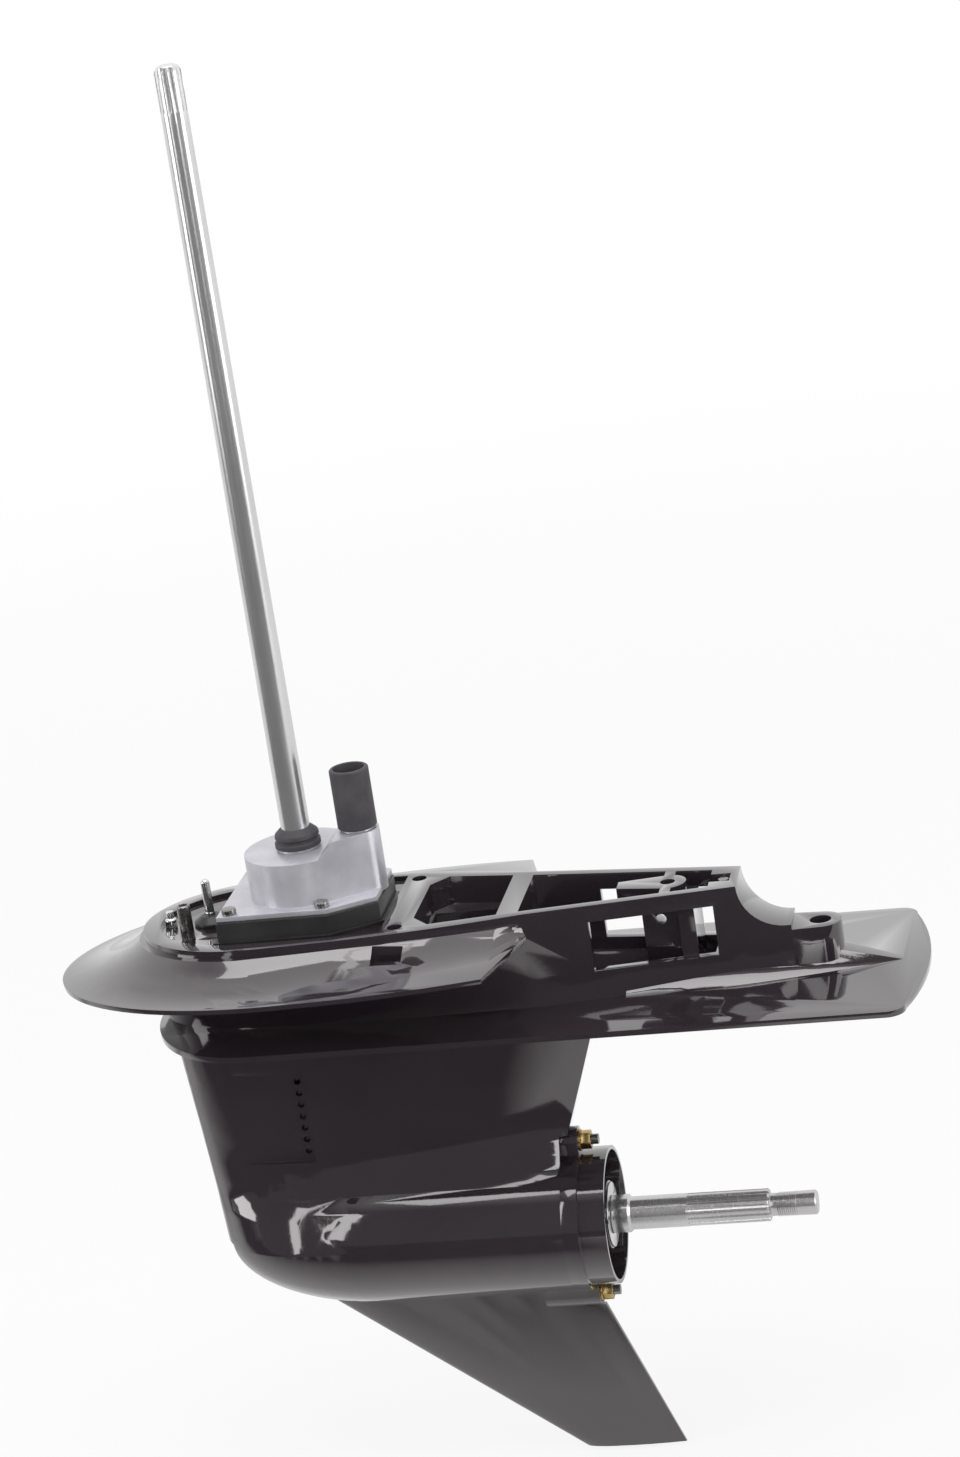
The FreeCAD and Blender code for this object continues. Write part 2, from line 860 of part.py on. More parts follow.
    column = new_sketch(body)
    rectangle(column, s.column_front, s.column_rear, -9, 9)
    pad(body, column, s.pocket_depth + 1, back=True)
    wall = new_sketch(body, "XY_Plane", -12)
    rectangle(wall, s.column_rear, s.column_rear + 12, -22, 22)
    pad(body, wall, s.pocket_depth - 11, back=True)
    boss = new_sketch(body)
    circle(boss, s.rear_bolt_x, 0, s.tongue_half)
    pad(body, boss, s.tongue_thick, back=True)
    tongue = new_sketch(body)
    corners = [
        (s.tongue_front, -7),
        (s.rear_bolt_x, -s.tongue_half),
        (s.rear_bolt_x, s.tongue_half),
        (s.tongue_front, 7),
    ]
    pad(body, polygon(tongue, corners), s.tongue_thick, back=True)
    web = new_sketch(body)
    rectangle(web, s.rear_bolt_x - 4, s.rear_bolt_x + 4, -24, 24)
    pad(body, web, s.tongue_thick, back=True)
    cross = new_sketch(body, "XZ_Plane")
    circle(cross, s.cross_hole_x, -s.cross_hole_drop, s.cross_hole_r)
    pocket(body, cross, 40, both=True)

    holes = new_sketch(body)
    for side in (1, -1):
        circle(holes, s.deck_bolt_x, side * s.deck_bolt_y, s.deck_bolt_r)
    pocket(body, holes, s.deck_bolt_deep)
    rear_hole = new_sketch(body)
    circle(rear_hole, s.rear_bolt_x, 0, s.rear_bolt_r)
    pocket(body, rear_hole, 18)
    tab = new_sketch(body, "XY_Plane", -s.waist_drop + 1)
    circle(tab, s.tab_hole_x, 0, s.tab_hole_r)
    pocket(body, tab, 60)

    drive = new_sketch(body, "XZ_Plane")
    bearing_low = s.upper_bearing_top + s.upper_bearing_long
    pinion_low = s.axis_drop - s.pinion_bearing_low
    pinion_top = pinion_low - s.pinion_bearing_long
    spigot = s.spigot_r + s.fit_gap
    steps = [
        (0, 1),
        (spigot, 1),
        (spigot, -s.upper_bearing_top),
        (s.upper_bearing_r, -s.upper_bearing_top),
        (s.upper_bearing_r, -bearing_low),
        (s.tunnel_r, -bearing_low),
        (s.tunnel_r, -pinion_top),
        (s.pinion_bearing_r, -pinion_top),
        (s.pinion_bearing_r, -pinion_low),
        (s.pinion_bearing_r + 4, -pinion_low),
        (s.pinion_bearing_r + 4, -s.axis_drop + 20),
        (0, -s.axis_drop + 20),
    ]
    polygon(drive, steps)
    groove = body.newObject("PartDesign::Groove", "Groove")
    groove.Profile = drive
    groove.ReferenceAxis = (drive, ["V_Axis"])
    groove.Angle = 360.0

    bore = s.carrier_r + s.fit_gap
    chamber = sketch_at_axis(body)
    steps = [
        (-s.nose_cavity_front, 0),
        (-s.nose_cavity_front, s.nose_cavity_r - 3),
        (-s.nose_cavity_front + 3, s.nose_cavity_r),
        (-s.cup_front, s.nose_cavity_r),
        (-s.cup_front, s.cup_r),
        (-s.cup_rear, s.cup_r),
        (-s.cup_rear, s.cup_r + 4),
        (-s.chamber_front, s.cup_r + 4),
        (-s.chamber_front, bore - 0.8),
        (s.carrier_front, bore - 0.8),
        (s.carrier_front, bore),
        (s.torpedo_end_x + 1, bore),
        (s.torpedo_end_x + 1, 0),
    ]
    round_axis(body, polygon(chamber, steps), cut=True)

    seat = new_sketch(body, "XY_Plane", -s.recess_depth)
    circle(seat, -s.shift_x, 0, s.bushing_r + s.fit_gap)
    pocket(body, seat, 14)
    shift = new_sketch(body, "XY_Plane", -s.recess_depth)
    circle(shift, -s.shift_x, 0, s.shift_body_r + 1.5)
    pocket(body, shift, s.axis_drop - 14)

    duct = new_sketch(body, "XY_Plane", -s.recess_depth)
    rectangle(duct, -s.duct_front, -s.duct_rear, -s.duct_half, s.duct_half)
    pocket(body, duct, s.inlet_low)
    exhaust = new_sketch(body, "XY_Plane", -s.pocket_depth + 5)
    rectangle(exhaust, s.exhaust_front, s.exhaust_rear, -s.exhaust_half, s.exhaust_half)
    pocket(body, exhaust, s.axis_drop - s.pocket_depth - 44)

    mounts = new_sketch(body, "XY_Plane", -s.recess_depth)
    for x, y in pump_bolt_spots():
        circle(mounts, x, y, s.pump_bolt_r + s.fit_gap)
    circle(mounts, -s.dowel_x, -s.dowel_y, s.dowel_r + s.fit_gap)
    circle(mounts, -s.fitting_x, 0, s.fitting_r - 1.5)
    pocket(body, mounts, s.pump_bolt_deep)
    notch = new_sketch(body)
    rectangle(notch, s.rear_pocket_rear - 1, s.stub_x + s.stub_r + 1, -s.stub_r - 4, s.stub_r + 4)
    pocket(body, notch, s.stub_deep)
    stub = new_sketch(body, "XY_Plane", -s.stub_deep)
    circle(stub, s.stub_x, 0, s.stub_r + s.fit_gap)
    pocket(body, stub, s.stub_deep)

    wedge = new_sketch(body, "XY_Plane", -s.ramp_high)
    for side in (1, -1):
        corners = [
            (-s.ramp_front, side * s.ramp_front_half),
            (-s.ramp_rear, side * s.ramp_rear_half),
            (-s.ramp_rear, side * s.deck_half),
            (-s.ramp_front, side * s.deck_half),
        ]
        polygon(wedge, corners)
    pocket(body, wedge, s.ramp_long)
    inlet = new_sketch(body, "XZ_Plane")
    count = int(s.inlet_count.value)
    for index in range(count):
        drop = s.inlet_high + (s.inlet_low - s.inlet_high) * (index / (count - 1))
        circle(inlet, -s.inlet_x, -drop, s.inlet_hole_r)
    pocket(body, inlet, 90, both=True)

    clearance = s.ear_radius + s.ear_half + s.fit_gap
    rear_cut = sketch_at_axis(body)
    end = s.torpedo_end_x
    round_axis(body, rectangle(rear_cut, end, end + 40, 0, clearance), cut=True)

    for side in (1, -1):
        hole = new_sketch(body, "YZ_Plane", s.torpedo_end_x)
        circle(hole, 0, -s.axis_drop + side * s.ear_radius, s.stud_r + s.fit_gap)
        pocket(body, hole, 24)

    for x, z, seat_y, shank in oil_screw_spots():
        side_hole(body, x, z, s.oil_head_r + 0.5, seat_y + 40, 40)
        side_hole(body, x, z, s.oil_screw_r + s.fit_gap, seat_y + 1, shank + 2)
    return body


def hexagon(sketch, flats):
    corner = size(flats) / math.sqrt(3)
    points = []
    for index in range(6):
        angle = math.radians(60 * index)
        points.append((corner * math.cos(angle), corner * math.sin(angle)))
    return polygon(sketch, points)


def axis_ring(label, inner, outer, start, end):
    return shaft_line(label, washer_profile(inner, outer, start, end), z=-s.axis_drop)


def rod(radius, length, base, direction):
    return Part.makeCylinder(radius, length, Vector(*base), Vector(*direction))


def bearing_carrier():
    body = new_body("bearing_carrier")
    flange_end = s.torpedo_end_x + s.flange_thick_x
    inner = s.carrier_r - s.barrel_wall
    ring_inner = s.ring_r - s.ring_wall
    seat_end = s.carrier_front + s.ball_seat_long
    web_end = seat_end + s.web_thick
    groove_r = s.carrier_r - 2 * s.o_ring_r - s.fit_gap
    turned(
        body,
        [
            (s.ball_seat_r, s.carrier_front),
            (s.carrier_r, s.carrier_front),
            (s.carrier_r, s.o_ring_x - 2),
            (groove_r, s.o_ring_x - 2),
            (groove_r, s.o_ring_x + 2),
            (s.carrier_r, s.o_ring_x + 2),
            (s.carrier_r, s.torpedo_end_x),
            (s.torpedo_r, s.torpedo_end_x),
            (s.torpedo_r, flange_end),
            (s.ring_r, flange_end),
            (s.ring_r, s.ring_end),
            (ring_inner, s.ring_end),
            (ring_inner, flange_end - 3),
            (inner, flange_end - 9),
            (inner, web_end),
            (s.hub_r, web_end),
            (s.hub_r, s.hub_end),
            (s.seal_r, s.hub_end),
            (s.seal_r, s.seal_start),
            (s.needle_r, s.seal_start),
            (s.needle_r, s.needle_start),
            (s.carrier_bore_r, s.needle_start),
            (s.carrier_bore_r, seat_end),
            (s.ball_seat_r, seat_end),
        ],
    )
    spoke = new_sketch(body, "XY_Plane", web_end - 1)
    rectangle(spoke, s.hub_r - 1.5, inner + 1.5, -s.spoke_half, s.spoke_half)
    around(body, pad(body, spoke, flange_end - 9 - web_end), s.spoke_count)
    port = new_sketch(body, "YZ_Plane", -s.hub_r - 6)
    rectangle(port, -s.exhaust_half, s.exhaust_half, web_end + 3, s.exhaust_rear)
    pocket(body, port, 30)
    for side in (1, -1):
        block = new_sketch(body, "XY_Plane", s.torpedo_end_x)
        rectangle(block, side * (s.ring_r - 1), side * s.ear_radius, -s.ear_half, s.ear_half)
        pad(body, block, s.ear_thick)
        tip = new_sketch(body, "XY_Plane", s.torpedo_end_x)
        circle(tip, side * s.ear_radius, 0, s.ear_half)
        pad(body, tip, s.ear_thick)
        hole = new_sketch(body, "XY_Plane", s.torpedo_end_x + s.ear_thick)
        circle(hole, side * s.ear_radius, 0, s.stud_r + s.fit_gap)
        pocket(body, hole, s.ear_thick)
    return place(body, z=-s.axis_drop, turn=ALONG_X)


def carrier_fasteners():
    seat = s.torpedo_end_x.value + s.ear_thick.value
    studs = []
    washers = []
    nuts = []
    for side in (1, -1):
        height = side * s.ear_radius.value - s.axis_drop.value
        start = s.torpedo_end_x.value - 23
        studs.append(rod(s.stud_r.value, s.stud_long.value + 2, (start, 0, height), (1, 0, 0)))
        hole = rod(s.stud_r.value + s.fit_gap.value, 40, (seat - 10, 0, height), (1, 0, 0))
        disc = rod(s.washer_r.value, s.washer_thick.value, (seat, 0, height), (1, 0, 0))
        washers.append(disc.cut(hole))
        corner = s.nut_flats.value / math.sqrt(3)
        face = seat + s.washer_thick.value
        points = []
        for index in range(7):
            angle = math.radians(60 * index)
            spot = Vector(face, corner * math.cos(angle), height + corner * math.sin(angle))
            points.append(spot)
        prism = Part.Face(Part.makePolygon(points)).extrude(Vector(s.nut_thick.value, 0, 0))
        nuts.append(prism.cut(hole))
    plain("carrier_studs", Part.makeCompound(studs))
    plain("carrier_washers", Part.makeCompound(washers))
    plain("carrier_nuts", Part.makeCompound(nuts))


# A ring of round stock round the propeller shaft's axis, with a section of eight sides.
def wire_ring(label, reach, along, radius):
    profile = []
    for step in range(8):
        angle = math.radians(45 * step + 22.5)
        profile.append((reach + radius * math.cos(angle), along + radius * math.sin(angle)))
    shaft_line(label, profile, z=-s.axis_drop)


def carrier_inner_rings():
    reach = s.carrier_r - s.o_ring_r - s.fit_gap / 2
    wire_ring("carrier_o_ring", reach, s.o_ring_x, s.o_ring_r)

    outer = s.seal_r - s.fit_gap
    inner = s.prop_r + s.fit_gap
    for label, start in (("inner_shaft_seal", s.seal_start), ("outer_shaft_seal", s.seal_start + s.seal_long + 1)):
        lip = start + s.seal_long / 2
        profile = [
            (outer - 2, start),
            (outer, start),
            (outer, start + s.seal_long),
            (inner, start + s.seal_long),
            (inner, lip),
            (outer - 2, lip),
        ]
        shaft_line(label, profile, z=-s.axis_drop)
    axis_ring("shaft_seal_cover", s.prop_r + s.run_gap, s.seal_cover_r, s.hub_end, s.hub_end + 2)
    needle_end = s.needle_start + s.needle_long
    axis_ring("carrier_needle_bearing", inner, s.needle_r - s.fit_gap, s.needle_start, needle_end)


# A bevel gear with its apex at the origin and its axis on +Z. The flank follows the involute of the
# equivalent spur gear, and each tooth shrinks towards the apex.
def bevel_gear(teeth, mate, blank, phase):
    module = s.gear_module.value
    pitch_angle = math.atan2(teeth, mate)
    cone = 0.5 * module * math.hypot(teeth, mate)
    sine, cosine = math.sin(pitch_angle), math.cos(pitch_angle)
    flank_curve = 0.5 * module * teeth / cosine * math.sin(math.radians(20))
    root = -1.05 * module

    def half_width(height):
        straight = math.pi * module / 4 - s.tooth_play.value - height * math.tan(math.radians(20))
        return straight - height**2 / (1.66 * flank_curve)

    def section(scale):
        levels = [root - 0.5, root, -0.35 * module, 0.3 * module, 0.85 * module]
        pairs = [(half_width(max(level, root)), level) for level in levels]
        outline = pairs + [(-width, level) for width, level in reversed(pairs)]
        spots = []
        for width, level in outline + outline[:1]:
            reach = cone * sine + level * cosine
            height = cone * cosine - level * sine
            spots.append(Vector(reach * scale, width * scale, height * scale))
        return Part.makePolygon(spots)

    inner = 1 - s.face_width.value / cone
    tooth = Part.makeLoft([section(1.0), section(inner)], True, True)
    rim = (cone * sine + root * cosine, cone * cosine - root * sine)
    profile = [(rim[0] * inner, rim[1] * inner), rim] + blank
    face = Part.Face(Part.makePolygon([Vector(r, 0, z) for r, z in profile + profile[:1]]))
    solid = face.revolve(Vector(0, 0, 0), Vector(0, 0, 1), 360)
    copies = []
    for index in range(teeth):
        copy = tooth.copy()
        copy.rotate(Vector(0, 0, 0), Vector(0, 0, 1), 360 * (index + phase) / teeth)
        copies.append(copy)
    return solid.fuse(copies)


# A block between two radii, as wide as the dog's angle, that a dog clutch engages with.
def dog(low, high, angle):
    half = s.dog_angle.value / 2
    inner, outer = s.dog_inner_r.value, s.dog_outer_r.value
    spots = []
    for radius, turn in ((inner, -half), (outer, -half), (outer, 0), (outer, half), (inner, half), (inner, 0)):
        spot = math.radians(turn + angle)
        spots.append(Vector(radius * math.cos(spot), radius * math.sin(spot), low))
    edges = [
        Part.makeLine(spots[0], spots[1]),
        Part.Arc(spots[1], spots[2], spots[3]).toShape(),
        Part.makeLine(spots[3], spots[4]),
        Part.Arc(spots[4], spots[5], spots[0]).toShape(),
    ]
    return Part.Face(Part.Wire(edges)).extrude(Vector(0, 0, high - low))


def driven_gear(label, turn, phase):
    face = s.gear_face_x.value
    back = s.gear_back_x.value
    hub = s.gear_hub_r.value
    end = s.gear_hub_x.value
    bore = s.gear_bore_r.value
    rim = 0.5 * s.gear_module.value * s.gear_teeth.value - 0.9
    blank = [(rim, back - 4), (rim, back), (hub, back), (hub, end), (bore, end), (bore, face), (28.0, face)]
    solid = bevel_gear(int(s.gear_teeth.value), int(s.pinion_teeth.value), blank, phase)
    dogs = []
    count = int(s.dog_count.value)
    for index in range(count):
        dogs.append(dog(face - s.dog_long.value, face + 0.5, 360 * index / count))
    feature = plain(label, solid.fuse(dogs))
    place(feature, z=-s.axis_drop, turn=turn)
    return feature


def gears():
    driven_gear("forward_gear", Rotation(Vector(0, 1, 0), -90), 0)
    driven_gear("reverse_gear", ALONG_X, 0.5)
    module = s.gear_module.value
    back = s.pinion_bearing_low.value - 2
    front = 30.5
    low, high = pinion_seat(front) + s.fit_gap.value, pinion_seat(back) + s.fit_gap.value
    blank = [(0.5 * module * s.pinion_teeth.value - 1.0, back), (high, back), (low, front)]
    pinion = bevel_gear(int(s.pinion_teeth.value), int(s.gear_teeth.value), blank, 0)
    plain("pinion_gear", pinion, z=-s.axis_drop)


# Radius of the drive shaft's taper in the pinion at a height over the propeller shaft's axis.
def pinion_seat(height):
    return 8.0 + 0.08 * (height - 30.5)


def drive_shaft():
    body = new_body("drive_shaft")
    base = -s.axis_drop.value
    journal_low = -s.axis_drop + s.pinion_bearing_low - 1.5
    journal_high = -s.axis_drop + s.pinion_bearing_low + s.pinion_bearing_long + 1.5
    turned(
        body,
        [
            (0, base + 24.5),
            (6.0, base + 24.5),
            (6.0, base + 30.5),
            (pinion_seat(30.5), base + 30.5),
            (pinion_seat(50.5), journal_low),
            (s.pinion_journal_r, journal_low),
            (s.pinion_journal_r, journal_high),
            (s.drive_r, journal_high),
            (s.drive_r, s.drive_taper_low),
            (s.drive_top_r, s.drive_spline_low),
            (s.drive_top_r, s.drive_tip - 5),
            (s.drive_top_r - 2, s.drive_tip - 1.2),
            (s.drive_top_r - 5, s.drive_tip),
            (0, s.drive_tip),
        ],
    )
    key = new_sketch(body, "XY_Plane", s.key_low + s.key_long + s.fit_gap)
    wide = s.key_half + s.fit_gap
    rectangle(key, s.drive_r - s.key_deep - s.fit_gap, s.drive_r + 2, -wide, wide)
    pocket(body, key, s.key_long + 2 * s.fit_gap)
    groove = new_sketch(body, "XY_Plane", s.drive_tip + 1)
    corners = [
        (s.drive_top_r - 1.4, -0.8),
        (s.drive_top_r + 1, -1.5),
        (s.drive_top_r + 1, 1.5),
        (s.drive_top_r - 1.4, 0.8),
    ]
    polygon(groove, corners)
    around(body, pocket(body, groove, s.drive_tip - s.drive_spline_low + 1), s.drive_grooves)


def drive_line_rings():
    base = -s.axis_drop
    nut = new_body("pinion_nut")
    hexagon(new_sketch(nut, "XY_Plane", base + 25), 20)
    pad(nut, nut.Group[0], 5.4)
    bore = new_sketch(nut, "XY_Plane", base + 31)
    circle(bore, 0, 0, 6.0 + s.fit_gap)
    pocket(nut, bore, 8)

    low = base + s.pinion_bearing_low
    profile = washer_profile(
        s.pinion_journal_r + s.fit_gap,
        s.pinion_bearing_r - s.fit_gap,
        low,
        low + s.pinion_bearing_long,
    )
    ring("pinion_needle_bearing", profile)
    top = -s.upper_bearing_top
    inner = s.drive_r + s.fit_gap
    profile = washer_profile(inner, s.upper_bearing_r - s.fit_gap, top - s.upper_bearing_long, top)
    ring("upper_drive_bearing", profile)
    seal_low = -s.upper_bearing_top + 0.8
    profile = washer_profile(inner, s.base_bore_r - s.fit_gap, seal_low, seal_low + 6)
    ring("drive_shaft_seal", profile)

    start = s.shaft_boss_top + s.run_gap
    waist = s.slinger_r - 2
    end = start + s.slinger_high
    profile = [
        (inner, start),
        (s.slinger_r, start),
        (s.slinger_r, start + 4),
        (waist, start + 5),
        (waist, start + 6.5),
        (s.slinger_r - 0.5, start + 7.5),
        (s.slinger_r - 1, start + 10.5),
        (s.drive_r + 1, end),
        (inner, end),
    ]
    ring("shaft_slinger", profile)


# A ball in eight bands, turned round a line parallel to Z.
def ball(radius, spot):
    points = []
    for step in range(9):
        angle = math.pi * (step / 8 - 0.5)
        points.append(spot + Vector(radius * math.cos(angle), 0, radius * math.sin(angle)))
    face = Part.Face(Part.makePolygon(points + [points[0]]))
    return face.revolve(spot, Vector(0, 0, 1), 360)


def gear_bearings():
    cup_inner = s.cup_r - 3
    cone_outer = s.gear_hub_r + 4.6
    shell = s.cup_r - s.fit_gap
    axis_ring("forward_bearing_cup", cup_inner, shell, -s.cup_front, -s.cup_rear)
    hub = s.gear_hub_r + s.fit_gap
    axis_ring("forward_bearing_cone", hub, cone_outer, -s.cup_front, -s.cup_rear)
    end = s.carrier_front + s.ball_seat_long
    outer = s.ball_seat_r - s.fit_gap
    axis_ring("reverse_bearing_outer_race", s.ball_seat_r - 5, outer, s.carrier_front, end)
    axis_ring("reverse_bearing_inner_race", hub, s.gear_hub_r + 5, s.carrier_front, end)

    middle = (cup_inner.value + cone_outer.value) / 2
    radius = (cup_inner.value - cone_outer.value) / 2 - s.fit_gap.value
    rollers = []
    for index in range(12):
        angle = math.radians(30 * index)
        spot = (2 - s.cup_front.value, middle * math.cos(angle), middle * math.sin(angle) - s.axis_drop.value)
        rollers.append(rod(radius, s.cup_front.value - s.cup_rear.value - 4, spot, (1, 0, 0)))
    plain("forward_bearing_rollers", Part.makeCompound(rollers))

    low = s.gear_hub_r.value + 5
    high = s.ball_seat_r.value - 5
    balls = []
    for index in range(9):
        angle = math.radians(40 * index)
        reach = (low + high) / 2
        height = reach * math.sin(angle) - s.axis_drop.value
        middle_x = s.carrier_front.value + s.ball_seat_long.value / 2
        spot = Vector(middle_x, reach * math.cos(angle), height)
        balls.append(ball((high - low) / 2 - s.fit_gap.value, spot))
    plain("reverse_bearing_balls", Part.makeCompound(balls))

    journal = s.prop_journal_r + s.fit_gap
    sleeve = s.gear_bore_r - s.fit_gap
    gear_end = s.gear_hub_x - 4
    gear_start = s.gear_face_x + 2
    axis_ring("forward_gear_sleeve", journal, sleeve, -gear_end, -gear_start)
    axis_ring("reverse_gear_sleeve", journal, sleeve, gear_start, gear_end)


def propeller_shaft():
    body = new_body("propeller_shaft")
    plain_start = s.gear_hub_x + 2
    collar_start = s.hub_end + 2 + s.run_gap
    turned(
        body,
        [
            (s.prop_bore_r, -s.prop_front),
            (s.prop_journal_r, -s.prop_front),
            (s.prop_journal_r, -s.spline_half),
            (s.spline_r, -s.spline_half),
            (s.spline_r, s.spline_half),
            (s.prop_journal_r, s.spline_half),
            (s.prop_journal_r, plain_start),
            (s.prop_r, plain_start + 1),
            (s.prop_r, collar_start),
            (s.collar_r, collar_start),
            (s.collar_r, s.collar_end - 2),
            (s.prop_r, s.collar_end),
            (s.prop_r, s.prop_spline_start - 1),
            (s.prop_spline_r, s.prop_spline_start),
            (s.prop_spline_r, s.prop_spline_end - 1),
            (s.prop_spline_r - 1, s.prop_spline_end),
            (s.prop_thread_r - 0.7, s.prop_spline_end + 1),
            (s.prop_thread_r - 0.7, s.prop_thread_start),
            (s.prop_thread_r, s.prop_thread_start + 0.7),
            (s.prop_thread_r, s.prop_end - 1.5),
            (s.prop_thread_r - 1.5, s.prop_end),
            (0, s.prop_end),
            (0, s.slide_rear + 6),
            (s.prop_bore_r, s.slide_rear + 6),
        ],
    )
    key = new_sketch(body, "XY_Plane", -s.spline_half)
    wide = s.spline_key_width / 2
    rectangle(key, s.spline_r - 1, s.spline_key_r, -wide, wide)
    around(body, pad(body, key, 2 * s.spline_half), s.spline_keys)
    groove = new_sketch(body, "XY_Plane", s.prop_spline_end + 1)
    corners = [
        (s.prop_spline_r - 1.8, -0.9),
        (s.prop_spline_r + 1, -1.7),
        (s.prop_spline_r + 1, 1.7),
        (s.prop_spline_r - 1.8, 0.9),
    ]
    polygon(groove, corners)
    long = s.prop_spline_end - s.prop_spline_start + 1
    around(body, pocket(body, groove, long), s.prop_grooves)
    slot = new_sketch(body, "XZ_Plane")
    reach = s.cross_pin_r + 5
    rectangle(slot, -s.cross_pin_r - s.run_gap, s.cross_pin_r + s.run_gap, -reach, reach)
    pocket(body, slot, 40, both=True)
    return place(body, z=-s.axis_drop, turn=ALONG_X)


def clutch():
    body = new_body("dog_clutch")
    bore = s.spline_r + 0.1
    turned(
        body,
        [
            (bore, -s.clutch_half),
            (s.dog_outer_r, -s.clutch_half),
            (s.dog_outer_r, -1.2),
            (s.dog_outer_r - 1.8, -1.2),
            (s.dog_outer_r - 1.8, 1.2),
            (s.dog_outer_r, 1.2),
            (s.dog_outer_r, s.clutch_half),
            (bore, s.clutch_half),
        ],
    )
    slot = new_sketch(body, "XY_Plane", s.clutch_half + 1)
    wide = s.spline_key_width / 2 + 0.1
    rectangle(slot, s.spline_r - 2, s.spline_key_r + 0.1, -wide, wide)
    around(body, pocket(body, slot, 2 * s.clutch_half + 2), s.spline_keys)
    for direction in (1, -1):
        start = direction * (s.clutch_half - 0.5)
        sketch = new_sketch(body, "XY_Plane", start)
        curves(sketch, dog_outline(22.5))
        around(body, pad(body, sketch, s.dog_long + 0.5, back=direction < 0), s.dog_count)
    hole = new_sketch(body, "XZ_Plane")
    circle(hole, 0, 0, s.cross_pin_r + s.fit_gap)
    pocket(body, hole, 60, both=True)
    place(body, z=-s.axis_drop, turn=ALONG_X)

    drop = s.axis_drop.value
    half = s.dog_outer_r.value - 2
    pin = rod(s.cross_pin_r.value, 2 * half, (0, -half, -drop), (0, 1, 0))
    plain("clutch_cross_pin", pin)
    wire_ring("clutch_retaining_spring", s.dog_outer_r - 0.95, size(0), s.spring_r)

    slide = rod(s.slide_r.value, s.slide_front.value + s.slide_rear.value, (-s.slide_front.value, 0, -drop), (1, 0, 0))
    gap = s.cross_pin_r.value + s.fit_gap.value
    hole = rod(gap, 30, (0, -15, -drop), (0, 1, 0))
    plain("shift_slide", slide.cut(hole))


def dog_outline(angle):
    half = s.dog_angle.value / 2
    spots = []
    for radius, turn in (
        (s.dog_inner_r.value, -half),
        (s.dog_outer_r.value, -half),
        (s.dog_outer_r.value, 0),
        (s.dog_outer_r.value, half),
        (s.dog_inner_r.value, half),
        (s.dog_inner_r.value, 0),
    ):
        spot = math.radians(turn + angle)
        spots.append((radius * math.cos(spot), radius * math.sin(spot)))
    return [
        line_between(spots[0], spots[1]),
        arc_through(spots[1], spots[2], spots[3]),
        line_between(spots[3], spots[4]),
        arc_through(spots[4], spots[5], spots[0]),
    ]


def shifter():
    base = -s.axis_drop
    top = s.shift_top
    shoulder = s.bushing_top + 2
    rod_profile = [
        (0, base + s.crank_low),
        (s.shift_body_r, base + s.crank_low),
        (s.shift_body_r, shoulder),
        (s.shift_r, shoulder + 0.5),
        (s.shift_r, top - 2),
        (s.shift_r - 1.2, top - 0.4),
        (0, top),
    ]
    ring("shift_shaft", rod_profile, x=-s.shift_x)

    crank = new_body("shift_crank")
    plate = new_sketch(crank, "XY_Plane", base + s.crank_low)
    reach = s.crank_arm + s.crank_pin_r + 1
    rectangle(plate, -s.crank_half, s.crank_half, -5, reach)
    pad(crank, plate, s.crank_thick)
    hub = new_sketch(crank, "XY_Plane", base + s.crank_low + s.crank_thick)
    circle(hub, 0, 0, s.shift_body_r + 2.3)
    pad(crank, hub, 4)
    pin = new_sketch(crank, "XY_Plane", base + s.crank_low + 1)
    circle(pin, 0, s.crank_arm, s.crank_pin_r)
    pad(crank, pin, s.crank_low + 6, back=True)
    bore = new_sketch(crank, "XY_Plane", base + s.crank_low + 20)
    circle(bore, 0, 0, s.shift_body_r + s.fit_gap)
    pocket(crank, bore, 30)
    place(crank, x=-s.shift_x)

    bushing_low = -s.recess_depth - 14
    profile = [
        (s.shift_body_r + s.fit_gap, bushing_low),
        (s.bushing_r, bushing_low),
        (s.bushing_r, -s.recess_depth),
        (s.bushing_r + 3, -s.recess_depth),
        (s.bushing_r + 3, -s.recess_depth + 2.5),
        (s.shift_body_r + 3, s.bushing_top),
        (s.shift_body_r + s.fit_gap, s.bushing_top),
    ]
    ring("shift_shaft_bushing", profile, x=-s.shift_x)

    drop = s.axis_drop.value
    head_x = -s.shift_x.value
    half = s.head_half_long.value
    rod_end = -s.slide_front.value - s.run_gap.value
    follower = rod(s.slide_r.value, rod_end - head_x, (head_x, 0, -drop), (1, 0, 0))
    high = s.head_half_high.value
    head = Part.makeBox(2 * half, s.head_low_y.value + s.head_high_y.value, 2 * high)
    head.translate(Vector(head_x - half, -s.head_low_y.value, -drop - high))
    slot_half = s.crank_pin_r.value + s.slot_play.value
    slot_low = s.crank_arm.value * math.cos(math.radians(s.shift_turn.value)) - slot_half - 0.3
    slot = Part.makeBox(2 * slot_half, 40, 4 * high)
    slot.translate(Vector(head_x - slot_half, slot_low, -drop - 2 * high))
    plain("cam_follower", follower.fuse(head).cut(slot))


def pump_outline(sketch, grow):
    front = -s.base_front - grow
    rear = s.base_rear + grow
    half = s.base_half + grow
    return polygon(
        sketch,
        [
            (front, -half),
            (s.base_long_rear, -half),
            (rear, -s.base_rear_half),
            (rear, s.base_rear_half),
            (s.base_long_rear, half),
            (front, half),
        ],
    )


def pump_layer(label, low, thick, bore):
    body = new_body(label)
    pad(body, pump_outline(new_sketch(body, "XY_Plane", low), -s.flange_inset), thick)
    holes = new_sketch(body, "XY_Plane", low + thick)
    circle(holes, 0, 0, bore)
    for x, y in pump_bolt_spots():
        circle(holes, x, y, s.pump_bolt_r + s.fit_gap)
    pocket(body, holes, thick)
    return body


